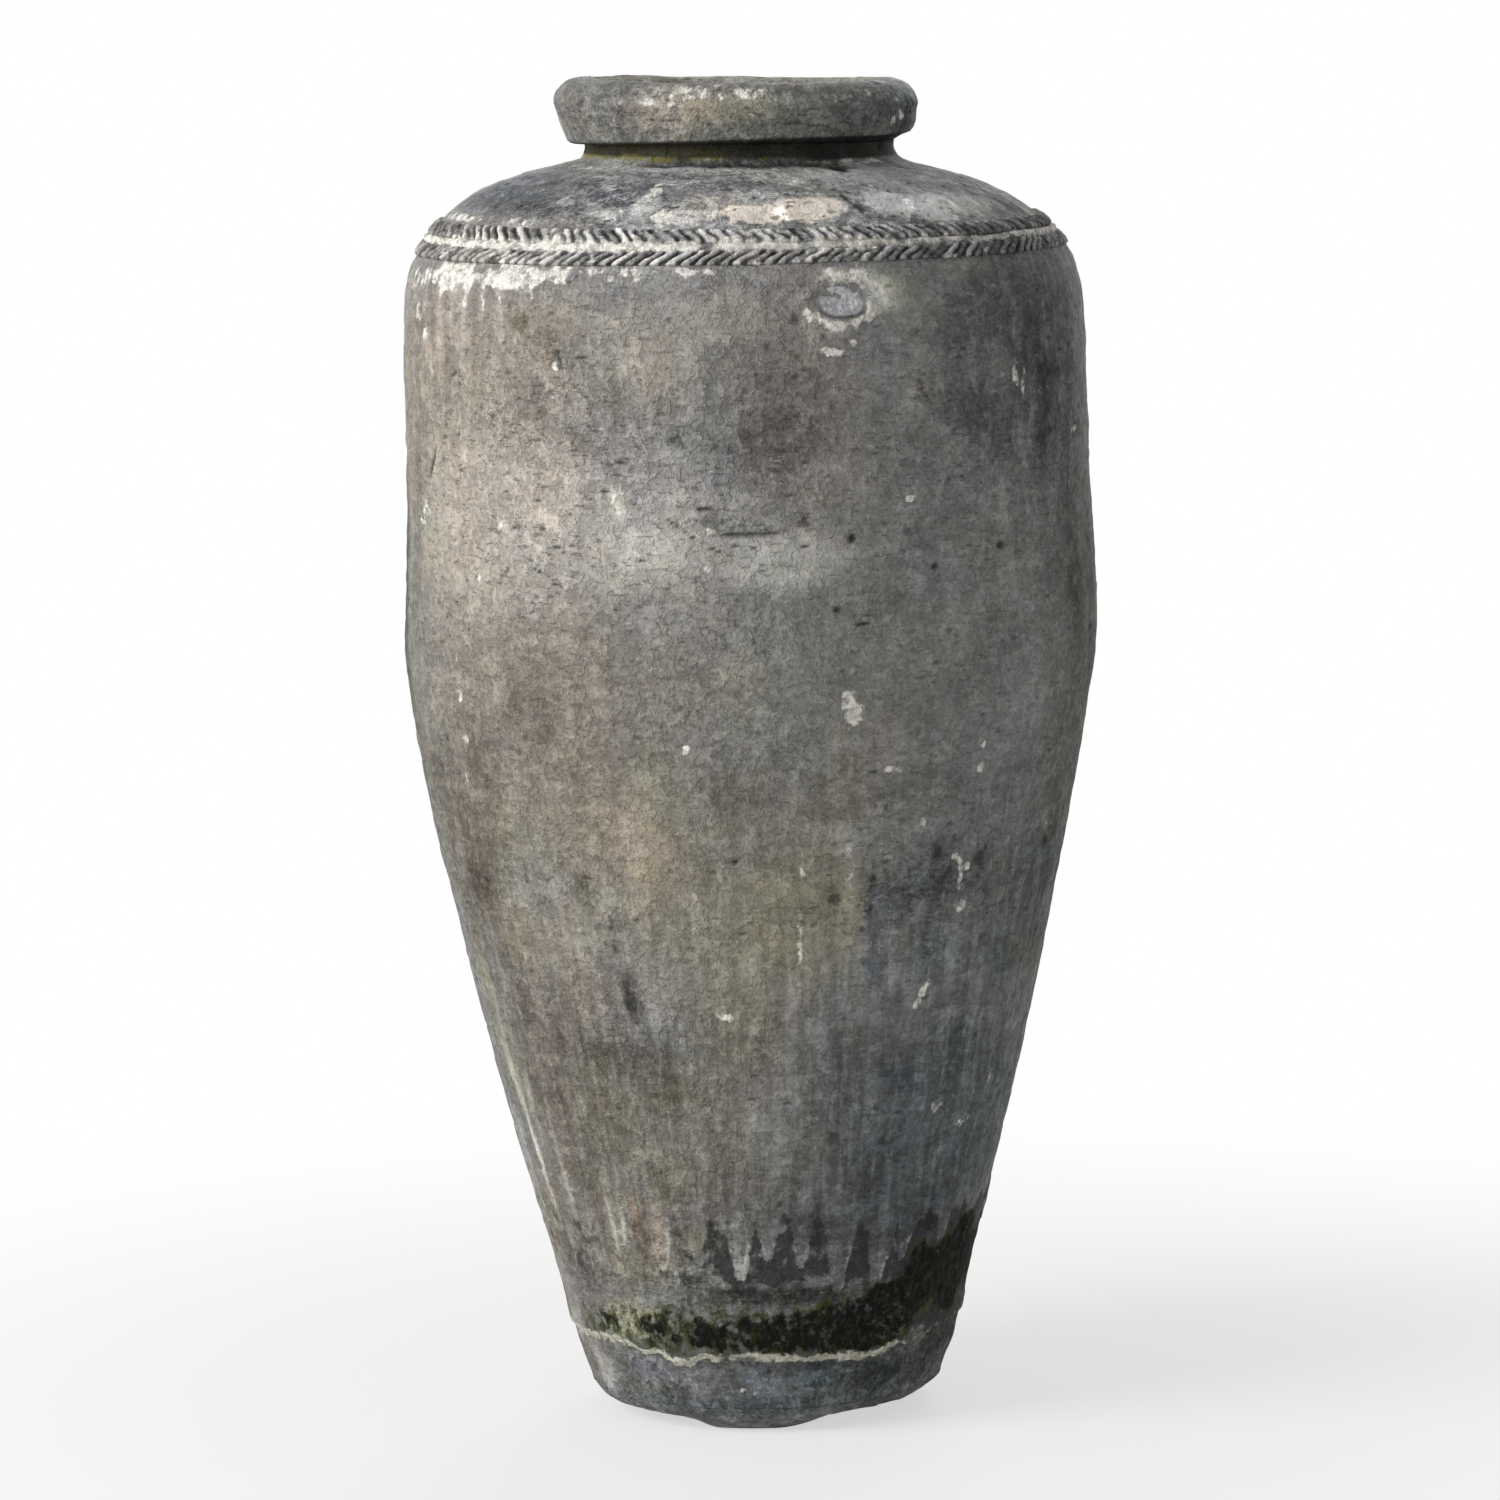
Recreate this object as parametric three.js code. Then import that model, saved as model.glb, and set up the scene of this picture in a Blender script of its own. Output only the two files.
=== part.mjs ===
import * as THREE from 'three';

// A tall storage jar, coiled by hand in courses that are luted together with slip.
// Millimetres, +Z up, with the ground at z = 0 and the front of the jar towards -Y.

// Heights of the pieces, from the ground up.
const floorThickness = 20;
const footCourseHeight = 36;
const lowerCourseHeight = 174;
const middleCourseHeight = 200;
const bellyCourseHeight = 205;
const upperCourseHeight = 187;
const shoulderHeight = 68;
const neckHeight = 18;
const rimHeight = 42;

// Outside radii where two pieces meet.
const floorEdgeRadius = 126;
const footTopRadius = 138;
const lowerTopRadius = 183.4;
const middleTopRadius = 227.4;
const bellyTopRadius = 243.4;
const upperTopRadius = 234.4;
const shoulderTopRadius = 134;
const neckTopRadius = 110;

// Turns of the outside between the joints: how far above the joint below, and how wide.
const bellyRise = 135;
const bellyRadius = 246;
const waistRise = 70;
const waistRadius = 241.4;
const shoulderTurnRise = 160;
const shoulderTurnRadius = 239.7;
const lowDomeRise = 20;
const lowDomeRadius = 223;
const midDomeRise = 38;
const midDomeRadius = 204;
const highDomeRise = 55;
const highDomeRadius = 172.5;
const neckFootRise = 8;
const neckFootRadius = 112.5;

// The wall, and the slip between two pieces of clay.
const wallThickness = 14;
const slipLayer = 0.3;

// The floor slab: a shallow kick underneath leaves a ring that the jar stands on.
const standingRadius = 100;
const kickRadius = 84;
const kickDepth = 3;
const footRollReach = 12;

// The rolled collar that forms the rim.
const collarLipRadius = 117.5;
const collarShoulderRise = 13;
const collarShoulderRadius = 124;
const rimRadius = 128;
const rimRollHeight = 16;

// The two rope bands pressed onto the shoulder.
const lowerBandRise = 9;
const lowerBandHeight = 10;
const bandSpacing = 4.5;
const upperBandHeight = 9;
const strandPitch = 10.3;
const ropeThickness = 4.2;
const ropeEdgeThickness = 1.6;
const strandGrooveDepth = 2.2;
const lowerStrandLean = 11;
const upperStrandLean = -8;

// The root of a small lug that has broken away below the rope bands.
const lugAzimuth = 16.6;
const lugRise = 169;
const lugHalfWidth = 21.5;
const lugHalfHeight = 13;
const lugStandOff = 4.5;
const lugEdgeBevel = 2.5;
const lugHollowDepth = 1.8;

// The jar was built by hand, so its upper parts lean a little, higher on the -X side.
const bandLean = 0.4;
const rimLean = 1.3;

// How finely the round forms are cut into flat faces.
const facetsAround = 48;
const columnsPerStrand = 2;
const lugFacets = 20;

const footJoint = floorThickness;
const lowerJoint = footJoint + footCourseHeight;
const middleJoint = lowerJoint + lowerCourseHeight;
const bellyJoint = middleJoint + middleCourseHeight;
const upperJoint = bellyJoint + bellyCourseHeight;
const shoulderJoint = upperJoint + upperCourseHeight;
const neckJoint = shoulderJoint + shoulderHeight;
const rimJoint = neckJoint + neckHeight;
const lugCentre = upperJoint + lugRise;
const lugBottom = lugCentre - lugHalfHeight;
const lugTop = lugCentre + lugHalfHeight;

// The outside of the wall passes through these turns.
const wallTurns = [
  { height: footJoint, radius: floorEdgeRadius },
  { height: lowerJoint, radius: footTopRadius },
  { height: middleJoint, radius: lowerTopRadius },
  { height: bellyJoint, radius: middleTopRadius },
  { height: bellyJoint + bellyRise, radius: bellyRadius },
  { height: upperJoint, radius: bellyTopRadius },
  { height: upperJoint + waistRise, radius: waistRadius },
  { height: upperJoint + shoulderTurnRise, radius: shoulderTurnRadius },
  { height: shoulderJoint, radius: upperTopRadius },
  { height: shoulderJoint + lowDomeRise, radius: lowDomeRadius },
  { height: shoulderJoint + midDomeRise, radius: midDomeRadius },
  { height: shoulderJoint + highDomeRise, radius: highDomeRadius },
  { height: neckJoint, radius: shoulderTopRadius },
  { height: neckJoint + neckFootRise, radius: neckFootRadius },
  { height: rimJoint, radius: neckTopRadius },
];

function steepness(lower, upper) {
  return (upper.radius - lower.radius) / (upper.height - lower.height);
}

// At a turn the wall follows both stretches beside it, and where it turns back it runs upright.
function slopeAtTurn(index) {
  if (index === 0) {
    return steepness(wallTurns[0], wallTurns[1]);
  }
  if (index === wallTurns.length - 1) {
    return 0;
  }
  const below = steepness(wallTurns[index - 1], wallTurns[index]);
  const above = steepness(wallTurns[index], wallTurns[index + 1]);
  return below * above > 0 ? (2 * below * above) / (below + above) : 0;
}

// A smooth cubic stretch joins each turn to the next.
function radiusAt(height) {
  let index = 0;
  while (index < wallTurns.length - 2 && height > wallTurns[index + 1].height) {
    index += 1;
  }
  const lower = wallTurns[index];
  const upper = wallTurns[index + 1];
  const span = upper.height - lower.height;
  const t = THREE.MathUtils.clamp((height - lower.height) / span, 0, 1);
  const blend = t * t * (3 - 2 * t);
  const leaveLower = t * (1 - t) * (1 - t) * span * slopeAtTurn(index);
  const reachUpper = t * t * (t - 1) * span * slopeAtTurn(index + 1);
  return THREE.MathUtils.lerp(lower.radius, upper.radius, blend) + leaveLower + reachUpper;
}

function outsidePoint(height) {
  return new THREE.Vector2(radiusAt(height), height);
}

// The inside lies one wall thickness in from the outside, square to it.
function insidePoint(height) {
  const reach = 0.5;
  const along = outsidePoint(height + reach).sub(outsidePoint(height - reach)).normalize();
  const outward = new THREE.Vector2(along.y, -along.x);
  return outsidePoint(height).addScaledVector(outward, -wallThickness);
}

// The lean grows from nothing at the belly to that of the bands, and on to that of the rim.
function leanAt(height) {
  const toBands = THREE.MathUtils.smoothstep(height, upperJoint, shoulderJoint + lowDomeRise);
  const toRim = THREE.MathUtils.smoothstep(height, shoulderJoint + lowDomeRise, neckJoint);
  return THREE.MathUtils.degToRad(bandLean * toBands + (rimLean - bandLean) * toRim);
}

function leanGeometry(geometry) {
  const position = geometry.attributes.position;
  for (let i = 0; i < position.count; i += 1) {
    const height = position.getZ(i);
    position.setZ(i, height - position.getX(i) * Math.tan(leanAt(height)));
  }
  geometry.computeVertexNormals();
  return geometry;
}

// A round piece, turned from the closed outline of its cut clay, outside going up.
function turnedPiece(section) {
  const closedSection = [...section, section[0].clone()];
  const geometry = new THREE.LatheGeometry(closedSection, facetsAround);
  geometry.rotateX(Math.PI / 2);
  return leanGeometry(geometry);
}

function evenSteps(bottom, top, count) {
  return Array.from({ length: count + 1 }, (_, step) => THREE.MathUtils.lerp(bottom, top, step / count));
}

// A course of the wall between the heights given, outside going up and inside coming down.
function wallSection(heights) {
  return [...heights.map(outsidePoint), ...heights.map(insidePoint).reverse()];
}

function courseGeometry(bottom, top, steps) {
  return turnedPiece(wallSection(evenSteps(bottom + slipLayer, top, steps)));
}

// The floor slab rolls out from the ground to the wall, and is hollowed a little underneath.
function floorGeometry() {
  const roll = new THREE.QuadraticBezierCurve(
    new THREE.Vector2(standingRadius, 0),
    new THREE.Vector2(standingRadius + footRollReach, 0),
    new THREE.Vector2(floorEdgeRadius, floorThickness),
  );
  const section = [
    new THREE.Vector2(0, kickDepth),
    new THREE.Vector2(kickRadius - kickDepth, kickDepth),
    new THREE.Vector2(kickRadius, 0),
    ...roll.getPoints(4),
    new THREE.Vector2(0, floorThickness),
  ];
  const geometry = new THREE.LatheGeometry(section, facetsAround);
  return leanGeometry(geometry.rotateX(Math.PI / 2));
}

// The foot course sits flat on the floor slab.
function footGeometry() {
  const section = wallSection(evenSteps(footJoint + slipLayer, lowerJoint, 2));
  const innerSeat = section.at(-1);
  innerSeat.set(floorEdgeRadius - wallThickness, footJoint + slipLayer);
  return turnedPiece(section);
}

// The upper course keeps a straight seat for the lug.
function upperGeometry() {
  const wallSteps = evenSteps(upperJoint + slipLayer, upperJoint + shoulderTurnRise / 2, 2);
  return turnedPiece(wallSection([...wallSteps, lugBottom, lugTop, shoulderJoint]));
}

// The dome keeps a straight seat under each rope band.
const lowerBandBottom = shoulderJoint + lowerBandRise;
const lowerBandTop = lowerBandBottom + lowerBandHeight;
const upperBandBottom = lowerBandTop + bandSpacing;
const upperBandTop = upperBandBottom + upperBandHeight;

function shoulderGeometry() {
  const domeSteps = evenSteps(upperBandTop, neckJoint, 5);
  const heights = [shoulderJoint + slipLayer, lowerBandBottom, lowerBandTop, upperBandBottom, ...domeSteps];
  return turnedPiece(wallSection(heights));
}

// The collar overhangs the neck, slopes out to the rim and rolls over into the throat.
function collarGeometry() {
  const seat = rimJoint + slipLayer;
  const throatRadius = neckTopRadius - wallThickness;
  const rollCentre = rimJoint + rimHeight - rimRollHeight;
  const roll = new THREE.EllipseCurve(
    (rimRadius + throatRadius) / 2,
    rollCentre,
    (rimRadius - throatRadius) / 2,
    rimRollHeight,
    0,
    Math.PI,
  );
  return turnedPiece([
    new THREE.Vector2(throatRadius, seat),
    new THREE.Vector2(collarLipRadius, seat),
    new THREE.Vector2(collarShoulderRadius, rimJoint + collarShoulderRise),
    ...roll.getPoints(9),
  ]);
}

// Joins rows of points into one closed skin. Each ring is a list of points round one section.
function closedSkin(rings, sectionCloses) {
  const positions = rings.flat().flatMap((point) => point.toArray());
  const perRing = rings[0].length;
  const indices = [];
  const addTriangle = (a, b, c, isFlat) => {
    if (!isFlat) {
      indices.push(a, b, c);
    }
  };
  const lastRow = sectionCloses ? perRing : perRing - 1;
  rings.forEach((ring, index) => {
    const here = index * perRing;
    const next = ((index + 1) % rings.length) * perRing;
    for (let row = 0; row < lastRow; row += 1) {
      const above = (row + 1) % perRing;
      addTriangle(here + row, next + row, next + above, !sectionCloses && row === 0);
      addTriangle(here + row, next + above, here + above, !sectionCloses && above === perRing - 1);
    }
  });
  const geometry = new THREE.BufferGeometry();
  geometry.setAttribute('position', new THREE.Float32BufferAttribute(positions, 3));
  geometry.setIndex(indices);
  return leanGeometry(geometry);
}

function onJar(azimuth, radius, height) {
  return new THREE.Vector3(radius * Math.sin(azimuth), -radius * Math.cos(azimuth), height);
}

// A rope band: slanting strands with a groove between each two, round the whole shoulder.
// Each strand starts at the band's lower edge and ends `lean` further round at its upper edge.
function ropeGeometry(bottom, top, lean) {
  const lowerEdge = outsidePoint(bottom);
  const upperEdge = outsidePoint(top);
  const along = upperEdge.clone().sub(lowerEdge).normalize();
  const outward = new THREE.Vector2(along.y, -along.x);
  const strands = Math.round((Math.PI * (lowerEdge.x + upperEdge.x)) / strandPitch);
  const columns = strands * columnsPerStrand;
  // Across the band: how far up from its lower edge, and how thick a strand is there.
  const profile = [
    { across: 0, thickness: ropeEdgeThickness },
    { across: 0.5, thickness: ropeThickness },
    { across: 1, thickness: ropeEdgeThickness },
    { across: 1, thickness: 0 },
    { across: 0, thickness: 0 },
  ];
  const rings = Array.from({ length: columns }, (_, column) => {
    const turn = (column / columns) * 2 * Math.PI;
    const inGroove = column % columnsPerStrand !== 0;
    return profile.map(({ across, thickness }) => {
      const strandCut = inGroove ? (thickness / ropeThickness) * strandGrooveDepth : 0;
      const seat = lowerEdge.clone().lerp(upperEdge, across);
      const point = seat.addScaledVector(outward, slipLayer + thickness - strandCut);
      return onJar(turn + ((across - 0.5) * lean) / lowerEdge.x, point.x, point.y);
    });
  });
  return closedSkin(rings, true);
}

// The lug's root: an oval pad on the wall, bevelled at its edge and dished where the lug broke off.
function lugGeometry() {
  const centreAzimuth = THREE.MathUtils.degToRad(lugAzimuth);
  const ovalPoint = (turn, inset, standOff) => {
    const scaleWide = inset === null ? 0 : lugHalfWidth - inset;
    const scaleHigh = inset === null ? 0 : lugHalfHeight - inset;
    const height = lugCentre + scaleHigh * Math.sin(turn);
    const seat = THREE.MathUtils.mapLinear(height, lugBottom, lugTop, radiusAt(lugBottom), radiusAt(lugTop));
    const radius = seat + slipLayer + standOff;
    return onJar(centreAzimuth + (scaleWide * Math.cos(turn)) / radius, radius, height);
  };
  const rings = Array.from({ length: lugFacets }, (_, facet) => {
    const turn = (facet / lugFacets) * 2 * Math.PI;
    return [
      ovalPoint(turn, null, 0),
      ovalPoint(turn, 0, 0),
      ovalPoint(turn, lugEdgeBevel / 2, lugStandOff * 0.7),
      ovalPoint(turn, lugEdgeBevel, lugStandOff),
      ovalPoint(turn, lugEdgeBevel * 2, lugStandOff - lugHollowDepth),
      ovalPoint(turn, null, lugStandOff - lugHollowDepth),
    ];
  });
  return closedSkin(rings, false);
}

const weatheredGlaze = { color: 0x86827a, roughness: 0.62, metalness: 0 };
const bareFootClay = { color: 0x6f7478, roughness: 0.85, metalness: 0 };
const crustedRope = { color: 0x77736b, roughness: 0.7, metalness: 0 };
const brokenClay = { color: 0x7d7e7f, roughness: 0.9, metalness: 0 };

const jar = new THREE.Group();

function addPiece(name, geometry, look) {
  const mesh = new THREE.Mesh(geometry, new THREE.MeshStandardMaterial(look));
  mesh.name = name;
  jar.add(mesh);
}

addPiece('base_slab', floorGeometry(), bareFootClay);
addPiece('foot_course', footGeometry(), bareFootClay);
addPiece('lower_course', courseGeometry(lowerJoint, middleJoint, 3), weatheredGlaze);
addPiece('middle_course', courseGeometry(middleJoint, bellyJoint, 3), weatheredGlaze);
addPiece('belly_course', courseGeometry(bellyJoint, upperJoint, 5), weatheredGlaze);
addPiece('upper_course', upperGeometry(), weatheredGlaze);
addPiece('shoulder_cap', shoulderGeometry(), weatheredGlaze);
addPiece('neck_ring', courseGeometry(neckJoint, rimJoint, 3), weatheredGlaze);
addPiece('rim_collar', collarGeometry(), weatheredGlaze);
addPiece('lower_rope_band', ropeGeometry(lowerBandBottom, lowerBandTop, lowerStrandLean), crustedRope);
addPiece('upper_rope_band', ropeGeometry(upperBandBottom, upperBandTop, upperStrandLean), crustedRope);
addPiece('lug_stub', lugGeometry(), brokenClay);

export default jar;
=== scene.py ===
import math

import bpy
import numpy as np
from mathutils import Matrix


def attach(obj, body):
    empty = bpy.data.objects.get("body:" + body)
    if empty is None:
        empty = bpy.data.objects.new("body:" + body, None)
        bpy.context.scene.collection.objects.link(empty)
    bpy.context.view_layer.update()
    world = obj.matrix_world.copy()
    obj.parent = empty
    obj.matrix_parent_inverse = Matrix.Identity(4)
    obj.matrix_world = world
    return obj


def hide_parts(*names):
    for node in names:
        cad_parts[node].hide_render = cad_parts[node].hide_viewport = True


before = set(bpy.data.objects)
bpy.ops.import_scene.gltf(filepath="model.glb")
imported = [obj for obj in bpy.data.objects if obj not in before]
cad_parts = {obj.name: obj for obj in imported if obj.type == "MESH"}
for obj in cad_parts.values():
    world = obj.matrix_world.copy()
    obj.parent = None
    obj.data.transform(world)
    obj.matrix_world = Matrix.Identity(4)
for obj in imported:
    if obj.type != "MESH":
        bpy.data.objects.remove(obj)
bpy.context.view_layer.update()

# A tall, weathered storage jar. Lengths are in millimetres until a mesh is made, and azimuths
# are degrees from the front of the jar (-Y) towards +X.
millimetre = 0.001
print("frame loaded:", len(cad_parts), "pieces of clay")

jar = {
    # Where the outside of the wall turns: height, radius.
    "wallTurns": [(20, 126), (56, 138), (230, 183.4), (430, 227.4), (565, 246), (635, 243.4), (705, 241.4),
                  (795, 239.7), (822, 234.4), (842, 223), (860, 204), (877, 172.5), (890, 134), (898, 112.5),
                  (908, 110)],
    "joints": {"foot": 20, "lower": 56, "middle": 230, "belly": 430, "upper": 635, "shoulder": 822,
               "neck": 890, "rim": 908},
    "wall": 14,
    "bandLean": 0.4,
    "rimLean": 1.3,
    "columns": 800,
    "rowSpacing": 1.95,
    "innerSpacing": 14,
    "innerWaver": [(0.8, 40, 17, 2)],
}
joints = jar["joints"]


# Curves and random clouds

def eased(t):
    # an s-curve from 0 to 1
    return t * t * (3 - 2 * t)


def smooth(low, high, value):
    # 0 below low, 1 above high, and an s-curve between; low may be the larger one
    return eased(np.clip((value - low) / (high - low), 0, 1))


def between(value, start, whole, fading, end):
    # rises from 0 at start to 1 at whole, and falls from fading to 0 again at end
    return smooth(start, whole, value) * smooth(end, fading, value)


def bell(value, middle, width, power=2):
    # 1 at the middle, fading on both sides; a higher power makes its top flatter
    return np.exp(-((value - middle) / width) ** power)


def hashed(ix, iy, iz, seed):
    # one repeatable random number from -1 to 1 for each cell of a lattice; large primes mix the bits
    h = (ix * 73856093) ^ (iy * 19349663) ^ (iz * 83492791) ^ (seed * 2654435761)
    h = (h ^ (h >> 13)) * 1274126177
    h = (h ^ (h >> 16)) & 0xFFFF
    return h / 32767.5 - 1


def cloud(place, size, seed, octaves=1, stretch=(1, 1, 1)):
    # random numbers on the corners of cubes `size` wide, blended smoothly between them,
    # with each further octave half as wide and half as strong
    total = np.zeros(place.shape[:-1])
    weight = 0
    for octave in range(octaves):
        scaled = place / (np.array(stretch) * size / 2 ** octave)
        cell = np.floor(scaled).astype(np.int64)
        t = eased(scaled - cell)
        value = 0
        for dx in (0, 1):
            for dy in (0, 1):
                for dz in (0, 1):
                    near = ((t[..., 0] if dx else 1 - t[..., 0]) * (t[..., 1] if dy else 1 - t[..., 1])
                            * (t[..., 2] if dz else 1 - t[..., 2]))
                    value = value + near * hashed(cell[..., 0] + dx, cell[..., 1] + dy, cell[..., 2] + dz,
                                                  seed + octave)
        total += value / 2 ** octave
        weight += 1 / 2 ** octave
    return total / weight


def clouds(place, layers):
    # several clouds in one, each listed as strength, size, seed and, where needed, octaves and stretch
    return sum(strength * cloud(place, *look) for strength, *look in layers)


def cells(place, size, seed, stretch=(1, 1, 1)):
    # distance to the nearest of the jittered middles of cubes `size` wide, counted in cubes,
    # and that cube's own random number from 0 to 1
    scaled = place / (np.array(stretch) * size)
    cell = np.floor(scaled).astype(np.int64)
    nearest = np.full(scaled.shape[:-1], 9.0)
    chance = np.zeros_like(nearest)
    for dx in (-1, 0, 1):
        for dy in (-1, 0, 1):
            for dz in (-1, 0, 1):
                i, j, k = cell[..., 0] + dx, cell[..., 1] + dy, cell[..., 2] + dz
                away = 0
                for n, axis in enumerate((i, j, k)):
                    away = away + (scaled[..., n] - axis - 0.5 - 0.45 * hashed(i, j, k, seed + n)) ** 2
                closer = away < nearest
                nearest = np.where(closer, away, nearest)
                chance = np.where(closer, hashed(i, j, k, seed + 7) / 2 + 0.5, chance)
    return np.sqrt(nearest), chance


# The form of the jar

turnHeights, turnRadii = np.array(jar["wallTurns"], float).T
steepness = np.diff(turnRadii) / np.diff(turnHeights)
below, above = steepness[:-1], steepness[1:]
both = np.where(below + above == 0, 1, below + above)
middleSlopes = np.where(below * above > 0, 2 * below * above / both, 0)
turnSlopes = np.concatenate([[steepness[0]], middleSlopes, [0]])


def wallRadius(height):
    # a smooth cubic stretch joins each turn of the outline to the next
    i = np.clip(np.searchsorted(turnHeights, height) - 1, 0, len(turnHeights) - 2)
    span = turnHeights[i + 1] - turnHeights[i]
    t = np.clip((height - turnHeights[i]) / span, 0, 1)
    return (turnRadii[i] + (turnRadii[i + 1] - turnRadii[i]) * eased(t)
            + t * (1 - t) ** 2 * span * turnSlopes[i] + t * t * (t - 1) * span * turnSlopes[i + 1])


def leanSlope(height):
    # how much the jar rises per millimetre towards -X at this height
    toBands = smooth(joints["upper"], joints["shoulder"] + 20, height)
    toRim = smooth(joints["shoulder"] + 20, joints["neck"], height)
    return np.tan(np.radians(jar["bandLean"] * toBands + (jar["rimLean"] - jar["bandLean"]) * toRim))


def aroundJar(azimuth, first):
    # degrees from `first` to azimuth the short way round
    return (azimuth - first + 180) % 360 - 180


def alongWall(azimuth, first, height):
    # millimetres round the wall from the azimuth `first`
    return np.radians(aroundJar(azimuth, first)) * wallRadius(height)


def spot(azimuth, height, mark, place, ragged, soft):
    # an oval patch: its strength at its middle, 0 outside, with a cloud of noise in its edge
    middle, level, halfWidth, halfHeight, tilt, strength = mark
    result = np.zeros_like(height)
    far = (1 + soft + ragged) * max(halfWidth, halfHeight)
    if level + far < height.min() or level - far > height.max():
        return result
    across = alongWall(azimuth, middle, np.array(float(level)))
    up = height - level
    near = (np.abs(across) < far) & (np.abs(up) < far)
    if not near.any():
        return result
    c, s = math.cos(math.radians(tilt)), math.sin(math.radians(tilt))
    a, u = across[near], up[near]
    reach = np.hypot((a * c + u * s) / halfWidth, (u * c - a * s) / halfHeight)
    grain = max(3, min(halfWidth, halfHeight) * 0.8)
    reach = reach + ragged * cloud(place[near], grain, 91, octaves=3)
    result[near] = smooth(1 + soft, 1 - soft, reach) * strength
    return result


def spots(azimuth, height, place, marks, **look):
    total = np.zeros_like(height)
    for mark in marks:
        total = total + spot(azimuth, height, mark, place, **look)
    return total


# The relief of the skin: what the hand, the glaze and the weather left on it

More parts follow.
